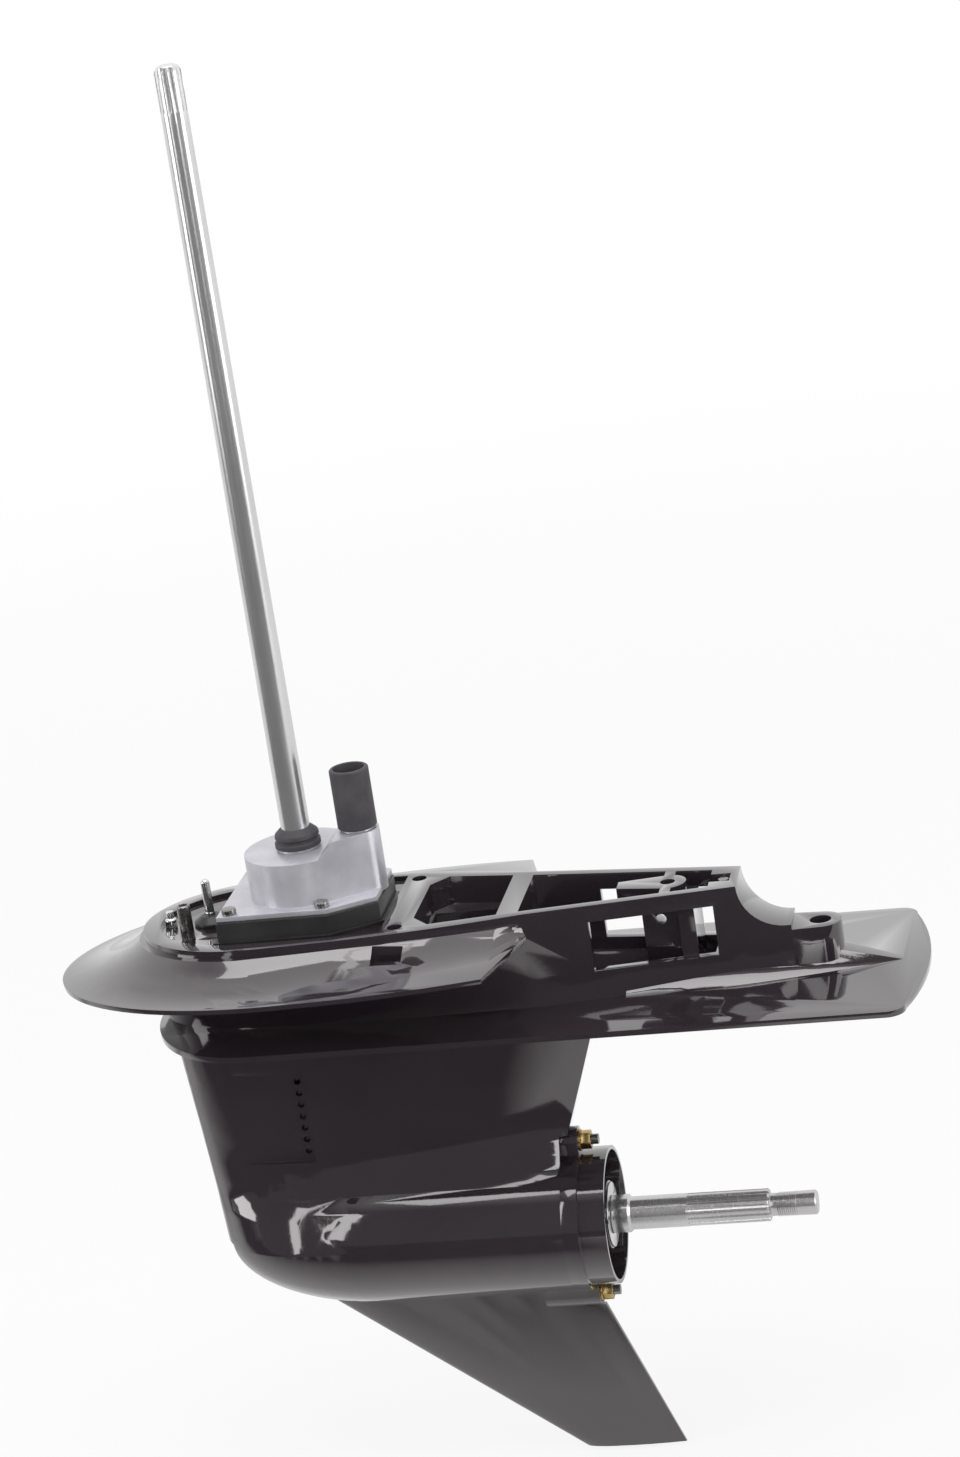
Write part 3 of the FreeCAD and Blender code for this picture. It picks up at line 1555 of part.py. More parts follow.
def water_pump():
    floor = -s.recess_depth
    base = new_body("pump_base")
    pad(base, pump_outline(new_sketch(base, "XY_Plane", floor), size(0)), s.base_top + s.recess_depth)
    pad(base, pump_outline(new_sketch(base, "XY_Plane", floor), s.base_ledge), 2.5)
    spigot = new_sketch(base, "XY_Plane", floor)
    circle(spigot, 0, 0, s.spigot_r)
    pad(base, spigot, s.spigot_drop - s.recess_depth, back=True)
    well = new_sketch(base, "XY_Plane", s.base_top)
    circle(well, 0, 0, s.cup_bore_r - 3)
    pocket(base, well, 6)
    bore = new_sketch(base, "XY_Plane", s.base_top)
    circle(bore, 0, 0, s.base_bore_r + 2)
    for x, y in pump_bolt_spots():
        circle(bore, x, y, s.pump_bolt_r + s.fit_gap)
    pocket(base, bore, 60)
    inlet = new_sketch(base, "XY_Plane", s.base_top - 5)
    rectangle(inlet, -s.duct_rear - 5, -s.duct_rear + 3, -8, 8)
    pocket(base, inlet, 40)

    pump_layer("pump_gasket", s.base_top, s.gasket_thick, s.cup_bore_r - 3)
    plate_low = s.base_top + s.gasket_thick
    pump_layer("pump_wear_plate", plate_low, s.pump_plate, s.base_bore_r)
    flange_low = plate_low + s.pump_plate

    housing = new_body("pump_housing")
    pad(housing, pump_outline(new_sketch(housing, "XY_Plane", flange_low), -s.flange_inset), s.flange_thick)
    high = s.drum_top - flange_low
    rise = s.tube_low - s.neck_gap - flange_low
    for x, radius, tall in ((0, s.drum_r, high), (s.tube_x, s.tube_boss_r, rise)):
        sketch = new_sketch(housing, "XY_Plane", flange_low)
        circle(sketch, x, 0, radius)
        pad(housing, sketch, tall)
    lean = math.acos((s.drum_r.value - s.tube_boss_r.value) / s.tube_x.value)
    side, along = math.sin(lean), math.cos(lean)
    flank = new_sketch(housing, "XY_Plane", flange_low)
    near = (s.drum_r * along, s.drum_r * side)
    far = (s.tube_x + s.tube_boss_r * along, s.tube_boss_r * side)
    polygon(flank, [(near[0], -near[1]), (far[0], -far[1]), far, near])
    pad(housing, flank, rise)
    ramp = new_sketch(housing, "XZ_Plane")
    ramp_top = s.tube_low + 10
    corners = [
        (near[0] - 1, s.drum_top),
        (s.ramp_foot, s.drum_top),
        (s.tube_x - s.tube_boss_r + 2, s.tube_low - s.neck_gap),
        (s.tube_x - s.tube_boss_r + 2, ramp_top),
        (near[0] - 1, ramp_top),
    ]
    polygon(ramp, corners)
    pocket(housing, ramp, 3 * s.drum_r, both=True)
    boss = new_sketch(housing, "XY_Plane", s.drum_top)
    circle(boss, 0, 0, s.shaft_boss_r)
    pad(housing, boss, s.shaft_boss_top - s.drum_top)
    neck = new_sketch(housing, "XY_Plane", s.drum_top)
    circle(neck, s.tube_x, 0, s.tube_r - s.tube_wall - s.fit_gap)
    pad(housing, neck, s.tube_low - s.drum_top + s.neck_high)
    chamber = new_sketch(housing, "XY_Plane", flange_low)
    circle(chamber, 0, 0, s.cup_bore_r + s.cup_wall + s.fit_gap)
    pocket(housing, chamber, s.cup_high, back=True)
    bore = new_sketch(housing, "XY_Plane", s.shaft_boss_top)
    circle(bore, 0, 0, s.drive_r + 1)
    pocket(housing, bore, 60)
    outlet = new_sketch(housing, "XY_Plane", s.tube_low + s.neck_high)
    circle(outlet, s.tube_x, 0, s.neck_bore_r)
    pocket(housing, outlet, s.tube_low + s.neck_high - s.drum_top + 18)
    bolts = new_sketch(housing, "XY_Plane", s.drum_top)
    for x, y in pump_bolt_spots():
        circle(bolts, x, y, s.pump_bolt_r + s.fit_gap)
    pocket(housing, bolts, high)

    cup = new_body("pump_cup")
    can = new_sketch(cup, "XY_Plane", flange_low)
    circle(can, 0, 0, s.cup_bore_r + s.cup_wall)
    pad(cup, can, s.cup_high)
    inside = new_sketch(cup, "XY_Plane", flange_low)
    circle(inside, 0, 0, s.cup_bore_r)
    pocket(cup, inside, s.cup_high - s.cup_wall, back=True)
    eye = new_sketch(cup, "XY_Plane", flange_low + s.cup_high)
    circle(eye, 0, 0, s.base_bore_r)
    pocket(cup, eye, s.cup_wall)

    impeller = new_body("pump_impeller")
    turned(
        impeller,
        washer_profile(
            s.drive_r + s.fit_gap,
            s.impeller_hub_r,
            s.impeller_low,
            s.impeller_low + s.impeller_high,
        ),
    )
    vane = new_sketch(impeller, "XY_Plane", s.impeller_low)
    corners = [
        (s.impeller_hub_r - 1, -s.vane_thick / 2),
        (s.impeller_r - 1, -s.vane_thick / 2 - 3),
        (s.impeller_r - 1, s.vane_thick / 2 - 3),
        (s.impeller_hub_r - 1, s.vane_thick / 2),
    ]
    polygon(vane, corners)
    around(impeller, pad(impeller, vane, s.impeller_high), s.impeller_vanes)
    keyway = new_sketch(impeller, "XY_Plane", s.impeller_low + s.impeller_high)
    wide = s.key_half + s.fit_gap
    rectangle(keyway, s.drive_r - 1, s.drive_r + s.key_proud + s.fit_gap, -wide, wide)
    pocket(impeller, keyway, s.impeller_high)

    key = new_body("impeller_key")
    sketch = new_sketch(key, "XY_Plane", s.key_low)
    rectangle(sketch, s.drive_r - s.key_deep, s.drive_r + s.key_proud, -s.key_half, s.key_half)
    pad(key, sketch, s.key_long)

    tube_inner = s.tube_r - s.tube_wall
    lip = s.tube_top - 1
    stop = s.tube_low + s.neck_high + s.fit_gap
    profile = [
        (tube_inner, s.tube_low),
        (s.tube_r - 1, s.tube_low),
        (s.tube_r, s.tube_low + 1),
        (s.tube_r, lip),
        (s.tube_r - 1, s.tube_top),
        (s.tube_bore_r, s.tube_top),
        (s.tube_bore_r, stop),
        (tube_inner, stop),
    ]
    ring("water_tube_coupling", profile, x=s.tube_x)

    top = flange_low + s.flange_thick
    low = floor.value - s.pump_bolt_deep.value + 1
    bolts = []
    for x, y in pump_bolt_spots():
        spot_x, spot_y = size(x).value, size(y).value
        shank = rod(s.pump_bolt_r.value, top.value - low, (spot_x, spot_y, low), (0, 0, 1))
        head = rod(s.pump_bolt_head_r.value, s.pump_bolt_head.value, (spot_x, spot_y, top.value), (0, 0, 1))
        bolts.append(shank.fuse(head))
    plain("pump_bolts", Part.makeCompound(bolts))


def deck_trim():
    deep = -s.recess_depth - s.pump_bolt_deep + 1
    profile = [
        (s.dowel_r - 2, deep),
        (s.dowel_r, deep),
        (s.dowel_r, s.dowel_top - 1),
        (s.dowel_r - 1, s.dowel_top),
        (s.dowel_r - 2, s.dowel_top),
    ]
    ring("deck_dowel", profile, x=-s.dowel_x, y=-s.dowel_y)
    fitting = [
        (0, deep),
        (s.fitting_r - 1.6, deep),
        (s.fitting_r - 1.6, -s.recess_depth),
        (s.fitting_r, -s.recess_depth),
        (s.fitting_r, 1.5),
        (s.fitting_r - 1.5, 2.5),
        (s.fitting_r - 1.5, s.fitting_top),
        (0, s.fitting_top),
    ]
    ring("front_fitting", fitting, x=-s.fitting_x)
    ring("rear_stud", [(0, 1 - 2 * s.stub_deep), (s.stub_r, 1 - 2 * s.stub_deep), (s.stub_r, -1), (0, -1)], x=s.stub_x)

    for label, spot in zip(("oil_vent_screw", "oil_drain_screw"), oil_screw_spots()):
        x, z, seat_y, shank = spot
        profile = [
            (0, -shank),
            (s.oil_screw_r, -shank),
            (s.oil_screw_r, 0),
            (s.oil_head_r, 0),
            (s.oil_head_r, s.oil_head_thick - 1),
            (s.oil_head_r - 1, s.oil_head_thick),
            (0, s.oil_head_thick),
        ]
        ring(label, profile, x, seat_y, z, Rotation(Vector(1, 0, 0), -90))


gearcase_housing()
bearing_carrier()
carrier_fasteners()
carrier_inner_rings()
gears()
gear_bearings()
drive_shaft()
drive_line_rings()
propeller_shaft()
clutch()
shifter()
water_pump()
deck_trim()
doc.recompute()

for item in doc.Objects:
    if "Invalid" in item.State or "Error" in item.State:
        raise RuntimeError(f"{item.Name} of {item.Label} failed to compute")
os.makedirs("parts", exist_ok=True)
for item in SUBPARTS:
    if item.Shape.isNull() or not item.Shape.isValid():
        raise RuntimeError(f"{item.Label} has no valid shape")
for item in SUBPARTS:
    item.Shape.exportStep(os.path.join("parts", item.Label + ".step"))
print(len(SUBPARTS), "sub-parts")
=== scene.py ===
import json
import math

import bpy
from mathutils import Matrix, Vector

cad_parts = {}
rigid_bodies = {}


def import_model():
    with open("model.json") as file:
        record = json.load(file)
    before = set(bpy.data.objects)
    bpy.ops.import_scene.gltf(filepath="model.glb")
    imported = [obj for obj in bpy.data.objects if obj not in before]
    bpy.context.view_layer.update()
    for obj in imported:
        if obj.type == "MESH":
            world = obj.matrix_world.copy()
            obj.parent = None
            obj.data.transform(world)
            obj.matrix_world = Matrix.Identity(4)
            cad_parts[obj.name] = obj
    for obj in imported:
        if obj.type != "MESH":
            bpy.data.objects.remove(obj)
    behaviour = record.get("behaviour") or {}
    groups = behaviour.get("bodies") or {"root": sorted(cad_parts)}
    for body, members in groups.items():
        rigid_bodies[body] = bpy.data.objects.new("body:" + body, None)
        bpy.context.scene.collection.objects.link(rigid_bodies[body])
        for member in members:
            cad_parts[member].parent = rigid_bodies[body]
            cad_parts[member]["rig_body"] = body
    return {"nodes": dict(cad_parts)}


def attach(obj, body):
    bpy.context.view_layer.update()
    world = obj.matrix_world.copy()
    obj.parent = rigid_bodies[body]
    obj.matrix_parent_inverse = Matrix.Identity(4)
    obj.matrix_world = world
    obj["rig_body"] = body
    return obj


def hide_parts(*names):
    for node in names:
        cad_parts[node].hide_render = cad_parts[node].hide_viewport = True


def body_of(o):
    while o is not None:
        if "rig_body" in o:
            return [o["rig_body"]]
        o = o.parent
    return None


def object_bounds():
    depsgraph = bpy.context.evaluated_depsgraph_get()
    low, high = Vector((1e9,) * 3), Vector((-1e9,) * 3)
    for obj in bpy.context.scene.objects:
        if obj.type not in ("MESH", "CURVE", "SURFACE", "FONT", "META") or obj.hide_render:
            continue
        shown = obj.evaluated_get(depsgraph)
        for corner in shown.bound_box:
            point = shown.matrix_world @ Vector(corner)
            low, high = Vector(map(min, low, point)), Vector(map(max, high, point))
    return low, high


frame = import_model()
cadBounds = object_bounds()
parts = frame["nodes"]
print("frame loaded:", len(parts), "parts")


# the photo's own viewpoint
cameraSettings = {
    "place": (0.673927, -2.424543, 0.877006),
    "right": (0.97561752, 0.16559591, -0.14404319),
    "up": (0.08721449, 0.30975075, 0.94680943),
    "ahead": (-0.20140526, 0.93628653, -0.2877559),
    "lens": 86.33, "sensor": 36.0, "reach": 60.0,
}


def placeCamera():
    camera = bpy.data.objects.new("photoCamera", bpy.data.cameras.new("photoCamera"))
    bpy.context.scene.collection.objects.link(camera)
    backward = -Vector(cameraSettings["ahead"])
    columns = [Vector(cameraSettings["right"]), Vector(cameraSettings["up"]), backward]
    turn = Matrix(columns).transposed().to_4x4()
    camera.matrix_world = Matrix.Translation(cameraSettings["place"]) @ turn
    camera.data.lens = cameraSettings["lens"]
    camera.data.sensor_width = cameraSettings["sensor"]
    camera.data.clip_end = cameraSettings["reach"]
    bpy.context.scene.camera = camera


placeCamera()
print("camera placed")


# how the noise is read as two tones and as a range, and how finely it is drawn
noiseReading = {
    "toneFrom": 0.35, "toneTo": 0.65, "rangeFrom": 0.3, "rangeTo": 0.7,
    "detail": 4.0, "fineDetail": 3.0, "rough": 0.55, "reliefShare": 0.6, "coatRough": 0.04, "plainIor": 1.5,
}


# paint, castings, steels, rubber
def newShader(name):
    material = bpy.data.materials.new(name)
    material.use_nodes = True
    nodes = material.node_tree.nodes
    links = material.node_tree.links
    surface = nodes["Principled BSDF"]
    spot = nodes.new("ShaderNodeTexCoord")
    return material, nodes, links, surface, spot.outputs["Object"]


def stretched(nodes, links, source, scale):
    mapping = nodes.new("ShaderNodeMapping")
    mapping.inputs["Scale"].default_value = scale
    links.new(source, mapping.inputs["Vector"])
    return mapping.outputs["Vector"]


def grain(nodes, links, source, scale, detail=noiseReading["detail"]):
    noise = nodes.new("ShaderNodeTexNoise")
    noise.inputs["Scale"].default_value = scale
    noise.inputs["Detail"].default_value = detail
    noise.inputs["Roughness"].default_value = noiseReading["rough"]
    links.new(source, noise.inputs["Vector"])
    return noise.outputs["Fac"]


def spread(nodes, links, source, low, high):
    reach = nodes.new("ShaderNodeMapRange")
    reach.inputs["From Min"].default_value = noiseReading["rangeFrom"]
    reach.inputs["From Max"].default_value = noiseReading["rangeTo"]
    reach.inputs["To Min"].default_value = low
    reach.inputs["To Max"].default_value = high
    links.new(source, reach.inputs["Value"])
    return reach.outputs["Result"]


def twoTone(nodes, links, source, dark, light):
    ramp = nodes.new("ShaderNodeValToRGB")
    ramp.color_ramp.elements[0].position = noiseReading["toneFrom"]
    ramp.color_ramp.elements[0].color = (*dark, 1)
    ramp.color_ramp.elements[1].position = noiseReading["toneTo"]
    ramp.color_ramp.elements[1].color = (*light, 1)
    links.new(source, ramp.inputs["Fac"])
    return ramp.outputs["Color"]


def relief(nodes, links, surface, source, height):
    bump = nodes.new("ShaderNodeBump")
    bump.inputs["Distance"].default_value = height
    bump.inputs["Strength"].default_value = noiseReading["reliefShare"]
    links.new(source, bump.inputs["Height"])
    links.new(bump.outputs["Normal"], surface.inputs["Normal"])


finishes = {
    "glossBlackPaint": {
        "dark": (0.023, 0.0172, 0.0215), "light": (0.029, 0.0222, 0.0272),
        "patch": 9.0, "metal": 0.0, "rough": (0.05, 0.1), "relief": 0.00005, "peel": 420.0,
        "stretch": (1, 1, 1), "specular": 0.7, "coat": 1.0, "coatIor": 1.62, "tint": (1, 0.955, 0.975),
    },
    "castAluminium": {
        "dark": (0.5, 0.495, 0.54), "light": (0.62, 0.615, 0.66),
        "patch": 30.0, "metal": 0.55, "rough": (0.3, 0.42), "relief": 0.00005, "peel": 900.0,
        "stretch": (1, 1, 1), "specular": 0.5, "coat": 0.0,
    },
    "mouldedBlackPlastic": {
        "dark": (0.012, 0.011, 0.012), "light": (0.022, 0.02, 0.021),
        "patch": 30.0, "metal": 0.0, "rough": (0.3, 0.46), "relief": 0.00008, "peel": 1300.0,
        "stretch": (1, 1, 1), "specular": 0.45, "coat": 0.0,
    },
    "tubeRubber": {
        "dark": (0.052, 0.047, 0.053), "light": (0.078, 0.071, 0.08),
        "patch": 45.0, "metal": 0.0, "rough": (0.5, 0.68), "relief": 0.00012, "peel": 1100.0,
        "stretch": (1, 1, 0.4), "specular": 0.35, "coat": 0.0,
    },
    "groundShaftSteel": {
        "dark": (0.72, 0.715, 0.72), "light": (0.8, 0.795, 0.8),
        "patch": 5.0, "metal": 0.85, "rough": (0.2, 0.26), "relief": 0.0, "peel": 60.0,
        "stretch": (1, 1, 0.2), "specular": 0.5, "coat": 0.0,
    },
    "turnedShaftSteel": {
        "dark": (0.56, 0.55, 0.55), "light": (0.68, 0.67, 0.67),
        "patch": 8.0, "metal": 0.85, "rough": (0.2, 0.28), "relief": 0.000004, "peel": 120.0,
        "stretch": (14, 1, 1), "specular": 0.5, "coat": 0.0,
    },
    "brightSteel": {
        "dark": (0.6, 0.6, 0.6), "light": (0.76, 0.76, 0.76),
        "patch": 25.0, "metal": 1.0, "rough": (0.12, 0.24), "relief": 0.00003, "peel": 800.0,
        "stretch": (1, 1, 1), "specular": 0.5, "coat": 0.0,
    },
    "oiledSteel": {
        "dark": (0.24, 0.235, 0.23), "light": (0.36, 0.35, 0.34),
        "patch": 40.0, "metal": 1.0, "rough": (0.22, 0.36), "relief": 0.00005, "peel": 700.0,
        "stretch": (1, 1, 1), "specular": 0.5, "coat": 0.0,
    },
    "yellowZinc": {
        "dark": (0.42, 0.29, 0.11), "light": (0.66, 0.52, 0.26),
        "patch": 120.0, "metal": 1.0, "rough": (0.2, 0.36), "relief": 0.00004, "peel": 900.0,
        "stretch": (1, 1, 1), "specular": 0.5, "coat": 0.0,
    },
    "bearingBronze": {
        "dark": (0.36, 0.22, 0.09), "light": (0.5, 0.33, 0.14),
        "patch": 60.0, "metal": 1.0, "rough": (0.25, 0.4), "relief": 0.00004, "peel": 900.0,
        "stretch": (1, 1, 1), "specular": 0.5, "coat": 0.0,
    },
}


def makeFinish(name):
    look = finishes[name]
    material, nodes, links, surface, place = newShader(name)
    patches = grain(nodes, links, place, look["patch"])
    drawn = stretched(nodes, links, place, look["stretch"])
    fine = grain(nodes, links, drawn, look["peel"], noiseReading["fineDetail"])
    links.new(twoTone(nodes, links, patches, look["dark"], look["light"]), surface.inputs["Base Color"])
    links.new(spread(nodes, links, fine, *look["rough"]), surface.inputs["Roughness"])
    surface.inputs["Metallic"].default_value = look["metal"]
    surface.inputs["Specular IOR Level"].default_value = look["specular"]
    surface.inputs["Coat Weight"].default_value = look["coat"]
    surface.inputs["Coat Roughness"].default_value = noiseReading["coatRough"]
    surface.inputs["Coat IOR"].default_value = look.get("coatIor", noiseReading["plainIor"])
    surface.inputs["Specular Tint"].default_value = (*look.get("tint", (1, 1, 1)), 1)
    if look["relief"]:
        relief(nodes, links, surface, fine, look["relief"])
    return material


made = {name: makeFinish(name) for name in finishes}

partFinish = {
    "glossBlackPaint": ["gearcase_housing", "bearing_carrier"],
    "castAluminium": ["pump_housing"],
    "mouldedBlackPlastic": ["pump_base", "shift_shaft_bushing"],
    "tubeRubber": [
        "water_tube_coupling", "shaft_slinger", "pump_gasket", "pump_impeller", "drive_shaft_seal",
        "carrier_o_ring", "inner_shaft_seal", "outer_shaft_seal",
    ],
    "groundShaftSteel": ["drive_shaft"],
    "turnedShaftSteel": ["propeller_shaft"],
    "brightSteel": [
        "shift_shaft", "front_fitting", "pump_wear_plate", "pump_cup", "shaft_seal_cover",
        "carrier_needle_bearing", "pinion_needle_bearing", "upper_drive_bearing", "forward_bearing_cup",
        "forward_bearing_rollers", "forward_bearing_cone", "reverse_bearing_outer_race",
        "reverse_bearing_inner_race", "reverse_bearing_balls",
    ],
    "oiledSteel": [
        "pinion_gear", "pinion_nut", "forward_gear", "reverse_gear", "dog_clutch", "clutch_cross_pin",
        "clutch_retaining_spring", "shift_slide", "cam_follower", "shift_crank", "impeller_key",
        "deck_dowel", "rear_stud", "oil_vent_screw", "oil_drain_screw", "pump_bolts", "carrier_studs",
    ],
    "yellowZinc": ["carrier_nuts", "carrier_washers"],
    "bearingBronze": ["forward_gear_sleeve", "reverse_gear_sleeve"],
}


def dressPart(part, material):
    part.data.materials.clear()
    part.data.materials.append(material)
    for face in part.data.polygons:
        face.material_index = 0


finishOf = {name: finish for finish, names in partFinish.items() for name in names}
for name, finish in finishOf.items():
    dressPart(parts[name], made[finish])
print("finishes made:", len(made))


# castings and turned parts get their small edge radii
# node: piece name, width of its rounded edges in metres, steps across an edge
softened = {
    "gearcase_housing": ("gearcaseCasting", 0.0011, 3),
    "bearing_carrier": ("carrierCasting", 0.0009, 3),
    "pump_housing": ("pumpHousingCasting", 0.0009, 3),
    "pump_base": ("pumpBaseMoulding", 0.0006, 2),
    "pump_bolts": ("pumpFlangeBolts", 0.0005, 2),
    "carrier_nuts": ("carrierHexNuts", 0.0006, 2),
    "carrier_washers": ("carrierPlainWashers", 0.0003, 2),
    "shaft_seal_cover": ("sealCoverDisc", 0.0004, 2),
    "water_tube_coupling": ("waterTubeSleeve", 0.0012, 3),
    "shaft_slinger": ("slingerBoot", 0.0008, 3),
    "shift_shaft": ("shiftRod", 0.0006, 3),
    "shift_shaft_bushing": ("shiftRodBushing", 0.0006, 2),
    "deck_dowel": ("locatingDowel", 0.0008, 3),
    "front_fitting": ("slottedFitting", 0.0005, 2),
    "rear_stud": ("rearDeckStud", 0.0005, 2),
    "oil_vent_screw": ("oilVentPlug", 0.0005, 2),
    "oil_drain_screw": ("oilDrainPlug", 0.0005, 2),
    "drive_shaft": ("driveShaftTurned", 0.0004, 2),
    "propeller_shaft": ("propellerShaftTurned", 0.0004, 2),
}
edgeAngle = 30
weldReach = 0.00002
flatAngle = 0.5
bodyOf = {name: body_of(part)[0] for name, part in parts.items()}


def pickOnly(piece):
    bpy.ops.object.select_all(action="DESELECT")
    piece.select_set(True)
    bpy.context.view_layer.objects.active = piece


def roundEdges(piece, width, steps):
    pickOnly(piece)
    edge = piece.modifiers.new("roundedEdge", "BEVEL")
    edge.width = width
    edge.segments = steps
    edge.limit_method = "ANGLE"
    edge.angle_limit = math.radians(edgeAngle)
    edge.harden_normals = False
    bpy.ops.object.modifier_apply(modifier="roundedEdge")
    bpy.ops.object.shade_smooth_by_angle(angle=math.radians(edgeAngle))


def mergedCopy(name, pieceName):
    piece = bpy.data.objects.new(pieceName, parts[name].data.copy())
    bpy.context.scene.collection.objects.link(piece)
    pickOnly(piece)
    bpy.ops.mesh.customdata_custom_splitnormals_clear()
    bpy.ops.object.mode_set(mode="EDIT")
    bpy.ops.mesh.select_all(action="SELECT")
    bpy.ops.mesh.remove_doubles(threshold=weldReach)
    bpy.ops.mesh.dissolve_limited(angle_limit=math.radians(flatAngle))
    bpy.ops.object.mode_set(mode="OBJECT")
    return piece


def handOver(piece, name):
    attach(piece, bodyOf[name])
    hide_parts(name)


# the propeller nut's thread, cut into the plain end of the shaft
nutThread = {
    "start": 0.3268, "root": 0.0087, "crest": 0.00948, "pitch": 0.0016, "turns": 10, "steps": 28,
    "axisHeight": -0.268, "ridgeShare": 0.52, "landFrom": 0.0015, "landPast": 0.01, "landReach": 0.0091,
    "weld": 0.000002,
}


def shrinkThreadLand(shaft):
    landStart = nutThread["start"] - nutThread["landFrom"]
    landEnd = nutThread["start"] + nutThread["pitch"] * (nutThread["turns"] + 1) + nutThread["landPast"]
    share = nutThread["root"] / nutThread["crest"]
    pickOnly(shaft)
    bpy.ops.object.mode_set(mode="EDIT")
    bpy.ops.mesh.select_mode(type="VERT")
    bpy.ops.mesh.select_all(action="DESELECT")
    bpy.ops.object.mode_set(mode="OBJECT")
    for point in shaft.data.vertices:
        reach = math.hypot(point.co.y, point.co.z - nutThread["axisHeight"])
        along = landStart < point.co.x < landEnd
        point.select = along and reach > nutThread["landReach"]
    bpy.ops.object.mode_set(mode="EDIT")
    bpy.ops.transform.resize(value=(1, share, share), center_override=(0, 0, nutThread["axisHeight"]))
    bpy.ops.object.mode_set(mode="OBJECT")


def windThread():
    half = nutThread["pitch"] * nutThread["ridgeShare"]
    bpy.ops.object.select_all(action="DESELECT")
    bpy.ops.mesh.primitive_circle_add(vertices=3, radius=half, rotation=(math.radians(90), 0, 0))
    ridge = bpy.context.active_object
    ridge.name = "nutThreadRidge"
    bpy.ops.object.transform_apply(rotation=True)
    bpy.ops.object.mode_set(mode="EDIT")
    bpy.ops.mesh.select_all(action="SELECT")
    bpy.ops.transform.translate(value=(0, 0, nutThread["root"]))
    bpy.ops.object.mode_set(mode="OBJECT")
    winding = ridge.modifiers.new("winding", "SCREW")
    winding.axis = "X"
    winding.angle = math.radians(360)
    winding.screw_offset = nutThread["pitch"]
    winding.iterations = nutThread["turns"]
    winding.steps = nutThread["steps"]
    winding.render_steps = nutThread["steps"]
    bpy.ops.object.modifier_apply(modifier="winding")
    ridge.location = (nutThread["start"], 0, nutThread["axisHeight"])
    bpy.ops.object.transform_apply(location=True)
    bpy.ops.object.mode_set(mode="EDIT")
    bpy.ops.mesh.select_all(action="SELECT")
    bpy.ops.mesh.remove_doubles(threshold=nutThread["weld"])
    bpy.ops.mesh.fill_holes(sides=4)
    bpy.ops.mesh.normals_make_consistent(inside=False)
    bpy.ops.object.mode_set(mode="OBJECT")
    bpy.ops.object.shade_smooth_by_angle(angle=math.radians(edgeAngle))
    return ridge


def addThread(shaft):
    ridge = windThread()
    ridge.data.materials.append(shaft.data.materials[0])
    pickOnly(shaft)
    ridge.select_set(True)
    bpy.ops.object.join()


for name, (pieceName, width, steps) in softened.items():
    piece = mergedCopy(name, pieceName)
    if name == "propeller_shaft":
        shrinkThreadLand(piece)
    roundEdges(piece, width, steps)
    if name == "propeller_shaft":
        addThread(piece)
    handOver(piece, name)
print("edges rounded:", len(softened), "pieces")


# pale floor with a painted reflection patch, pale room, dark side towards the camera
studio = {
    "floorGap": 0.004, "floorSize": 40.0, "floorColour": 0.82, "floorLift": 0.02, "floorPatch": 1.5,
    "floorRough": 0.9, "floorSpecular": 0.1,
    # painted reflection: where and how brightly the floor glows in reflections, with no sheet there to the
    # camera
    "paintedReflectionNear": 0.1, "paintedReflectionFar": 0.45, "paintedReflectionShine": 0.8, "roomShine": 0.06,
    "paintedReflectionLeft": 0.25, "paintedReflectionFront": -1.2, "paintedReflectionBlur": 0.05,
    "rearFrom": 0.1, "rearTo": 0.4, "nearShare": 0.86, "whiteFrom": 1.2, "whiteTo": 4.0,
    "backdrop": 1.0, "fill": 0.42,
    "darkFrom": 0.1, "darkTo": -0.35, "darkTop": 0.75, "brightTop": 1.0, "darkShine": 0.16,
    "lights": [
        {
            "name": "overheadSoftbox", "at": (0.3, -0.4, 3.2), "aim": (0.1, 0, 0),
            "size": (3.2, 2.6), "power": 70,
        },
        {
            "name": "leftPanel", "at": (-2.9, -1.4, 1.1), "aim": (0, 0, 0),
            "size": (1.0, 2.4), "power": 32,
        },
        {
            "name": "rightPanel", "at": (3.0, -0.8, 0.8), "aim": (0.1, 0, -0.1),
            "size": (1.2, 2.2), "power": 30,
        },
        {
            "name": "rightStrip", "at": (1.3, -3.2, 1.5), "aim": (0, 0, 0.3),
            "size": (0.5, 2.6), "power": 16,
        },
        {
            "name": "leftStrip", "at": (-1.5, -3.0, 1.5), "aim": (0, 0, 0.3),
            "size": (0.4, 2.6), "power": 12,
        },
    ],
}


def sums(nodes, links, operation, first, second):
    step = nodes.new("ShaderNodeMath")
    step.operation = operation
    for socket, value in zip(step.inputs, (first, second)):
        if isinstance(value, (int, float)):
            socket.default_value = value
        else:
            links.new(value, socket)
    return step.outputs[0]


def ramped(nodes, links, source, start, end, low, high):
    reach = nodes.new("ShaderNodeMapRange")
    for field, value in (("From Min", start), ("From Max", end), ("To Min", low), ("To Max", high)):
        reach.inputs[field].default_value = value
    links.new(source, reach.inputs["Value"])
    return reach.outputs["Result"]
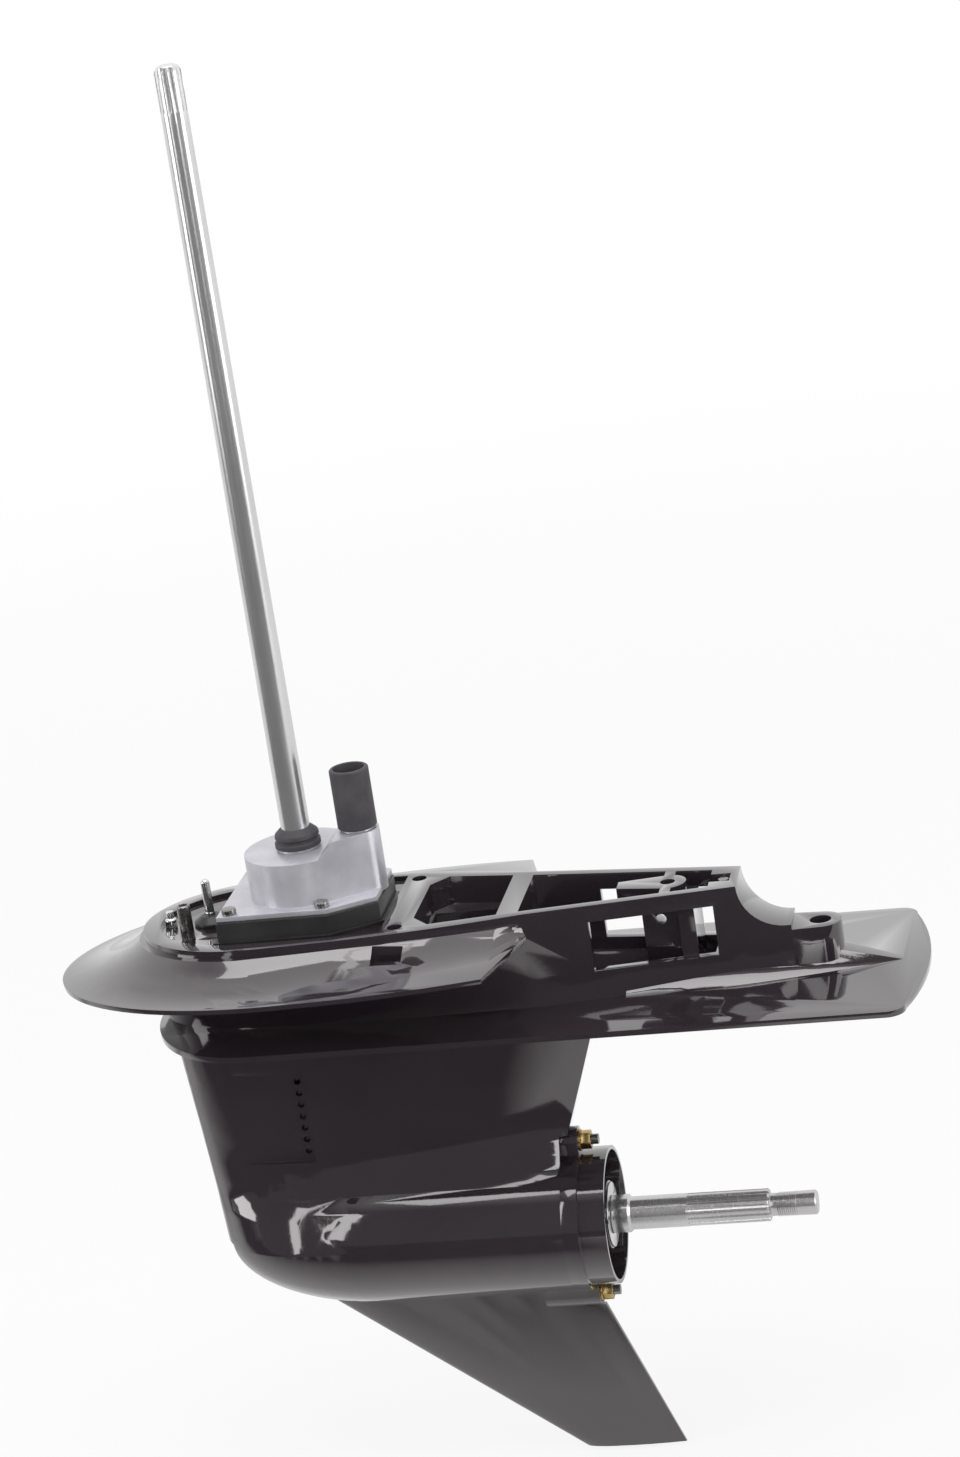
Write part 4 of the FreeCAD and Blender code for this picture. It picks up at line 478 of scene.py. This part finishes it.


# the floor is white to the camera and keeps the shadow near the object; in reflections it glows as a painted
# reflection, bright in a band along the object, in a sheet to the front right and behind it, and dim
# elsewhere
def floorFinish():
    material, nodes, links, surface, place = newShader("paleFloor")
    shade = studio["floorColour"]
    patches = grain(nodes, links, place, studio["floorPatch"])
    tint = twoTone(nodes, links, patches, (shade,) * 3, (shade + studio["floorLift"],) * 3)
    links.new(tint, surface.inputs["Base Color"])
    surface.inputs["Roughness"].default_value = studio["floorRough"]
    surface.inputs["Specular IOR Level"].default_value = studio["floorSpecular"]
    split = nodes.new("ShaderNodeSeparateXYZ")
    links.new(place, split.inputs[0])
    depth = sums(nodes, links, "ABSOLUTE", split.outputs["Y"], 0)
    under = ramped(nodes, links, depth, studio["paintedReflectionNear"], studio["paintedReflectionFar"], 1, 0)
    blur = studio["paintedReflectionBlur"]
    left, front = studio["paintedReflectionLeft"], studio["paintedReflectionFront"]
    rightOf = ramped(nodes, links, split.outputs["X"], left - blur, left + blur, 0, 1)
    behind = ramped(nodes, links, split.outputs["Y"], front - blur, front + blur, 0, 1)
    rear = ramped(nodes, links, split.outputs["Y"], studio["rearFrom"], studio["rearTo"], 0, 1)
    # painted reflection mask: the floor glows bright in reflections only inside this area
    paintedReflectionArea = sums(nodes, links, "MAXIMUM", under, sums(nodes, links, "MULTIPLY", rightOf, behind))
    paintedReflectionArea = sums(nodes, links, "MAXIMUM", paintedReflectionArea, rear)
    shine = ramped(nodes, links, paintedReflectionArea, 0, 1, studio["roomShine"], studio["paintedReflectionShine"])
    length = nodes.new("ShaderNodeVectorMath")
    length.operation = "LENGTH"
    links.new(place, length.inputs[0])
    whiteFrom, whiteTo = studio["whiteFrom"], studio["whiteTo"]
    share = ramped(nodes, links, length.outputs["Value"], whiteFrom, whiteTo, studio["nearShare"], 1)
    ray = nodes.new("ShaderNodeLightPath")
    seen = sums(nodes, links, "MULTIPLY", ray.outputs["Is Camera Ray"], share)
    mirrored = sums(nodes, links, "MAXIMUM", ray.outputs["Is Glossy Ray"], ray.outputs["Is Transmission Ray"])
    lit = nodes.new("ShaderNodeEmission")
    level = nodes.new("ShaderNodeMix")
    links.new(mirrored, level.inputs[0])
    level.inputs[2].default_value = 1.0
    links.new(shine, level.inputs[3])
    links.new(level.outputs[0], lit.inputs["Strength"])
    blend = nodes.new("ShaderNodeMixShader")
    links.new(sums(nodes, links, "MAXIMUM", seen, mirrored), blend.inputs["Fac"])
    links.new(surface.outputs["BSDF"], blend.inputs[1])
    links.new(lit.outputs["Emission"], blend.inputs[2])
    links.new(blend.outputs["Shader"], nodes["Material Output"].inputs["Surface"])
    return material


def layFloor():
    low = cadBounds[0][2] - studio["floorGap"]
    bpy.ops.object.select_all(action="DESELECT")
    bpy.ops.mesh.primitive_plane_add(size=studio["floorSize"], location=(0, 0, low))
    floor = bpy.context.active_object
    floor.name = "studioFloor"
    bpy.ops.object.transform_apply(location=True)
    floor.data.materials.append(floorFinish())


# the room is white behind and above; its camera side stays dark in the paint
def roomShine(nodes, links):
    way = nodes.new("ShaderNodeTexCoord")
    split = nodes.new("ShaderNodeSeparateXYZ")
    links.new(way.outputs["Generated"], split.inputs[0])
    behind = ramped(nodes, links, split.outputs["Y"], studio["darkTo"], studio["darkFrom"], 0, 1)
    above = ramped(nodes, links, split.outputs["Z"], studio["darkTop"], studio["brightTop"], 0, 1)
    openSide = sums(nodes, links, "MAXIMUM", behind, above)
    return ramped(nodes, links, openSide, 0, 1, studio["darkShine"], studio["backdrop"])


def lightWorld():
    world = bpy.data.worlds.new("studioWorld")
    bpy.context.scene.world = world
    world.use_nodes = True
    nodes = world.node_tree.nodes
    links = world.node_tree.links
    ground = nodes["Background"]
    ray = nodes.new("ShaderNodeLightPath")
    direct = sums(nodes, links, "MAXIMUM", ray.outputs["Is Camera Ray"], ray.outputs["Is Transmission Ray"])
    plain = ramped(nodes, links, direct, 0, 1, studio["fill"], studio["backdrop"])
    level = nodes.new("ShaderNodeMix")
    links.new(ray.outputs["Is Glossy Ray"], level.inputs[0])
    links.new(plain, level.inputs[2])
    links.new(roomShine(nodes, links), level.inputs[3])
    ground.inputs["Color"].default_value = (1, 1, 1, 1)
    links.new(level.outputs[0], ground.inputs["Strength"])


def hangLights():
    for lamp in studio["lights"]:
        light = bpy.data.lights.new(lamp["name"], "AREA")
        light.shape = "RECTANGLE"
        light.size, light.size_y = lamp["size"]
        light.energy = lamp["power"]
        holder = bpy.data.objects.new(lamp["name"], light)
        bpy.context.scene.collection.objects.link(holder)
        aim = Vector(lamp["aim"]) - Vector(lamp["at"])
        turn = aim.to_track_quat("-Z", "Y").to_matrix().to_4x4()
        holder.matrix_world = Matrix.Translation(lamp["at"]) @ turn
        holder.visible_camera = False


layFloor()
lightWorld()
hangLights()
bpy.context.scene.view_settings.view_transform = "Standard"
print("studio ready")
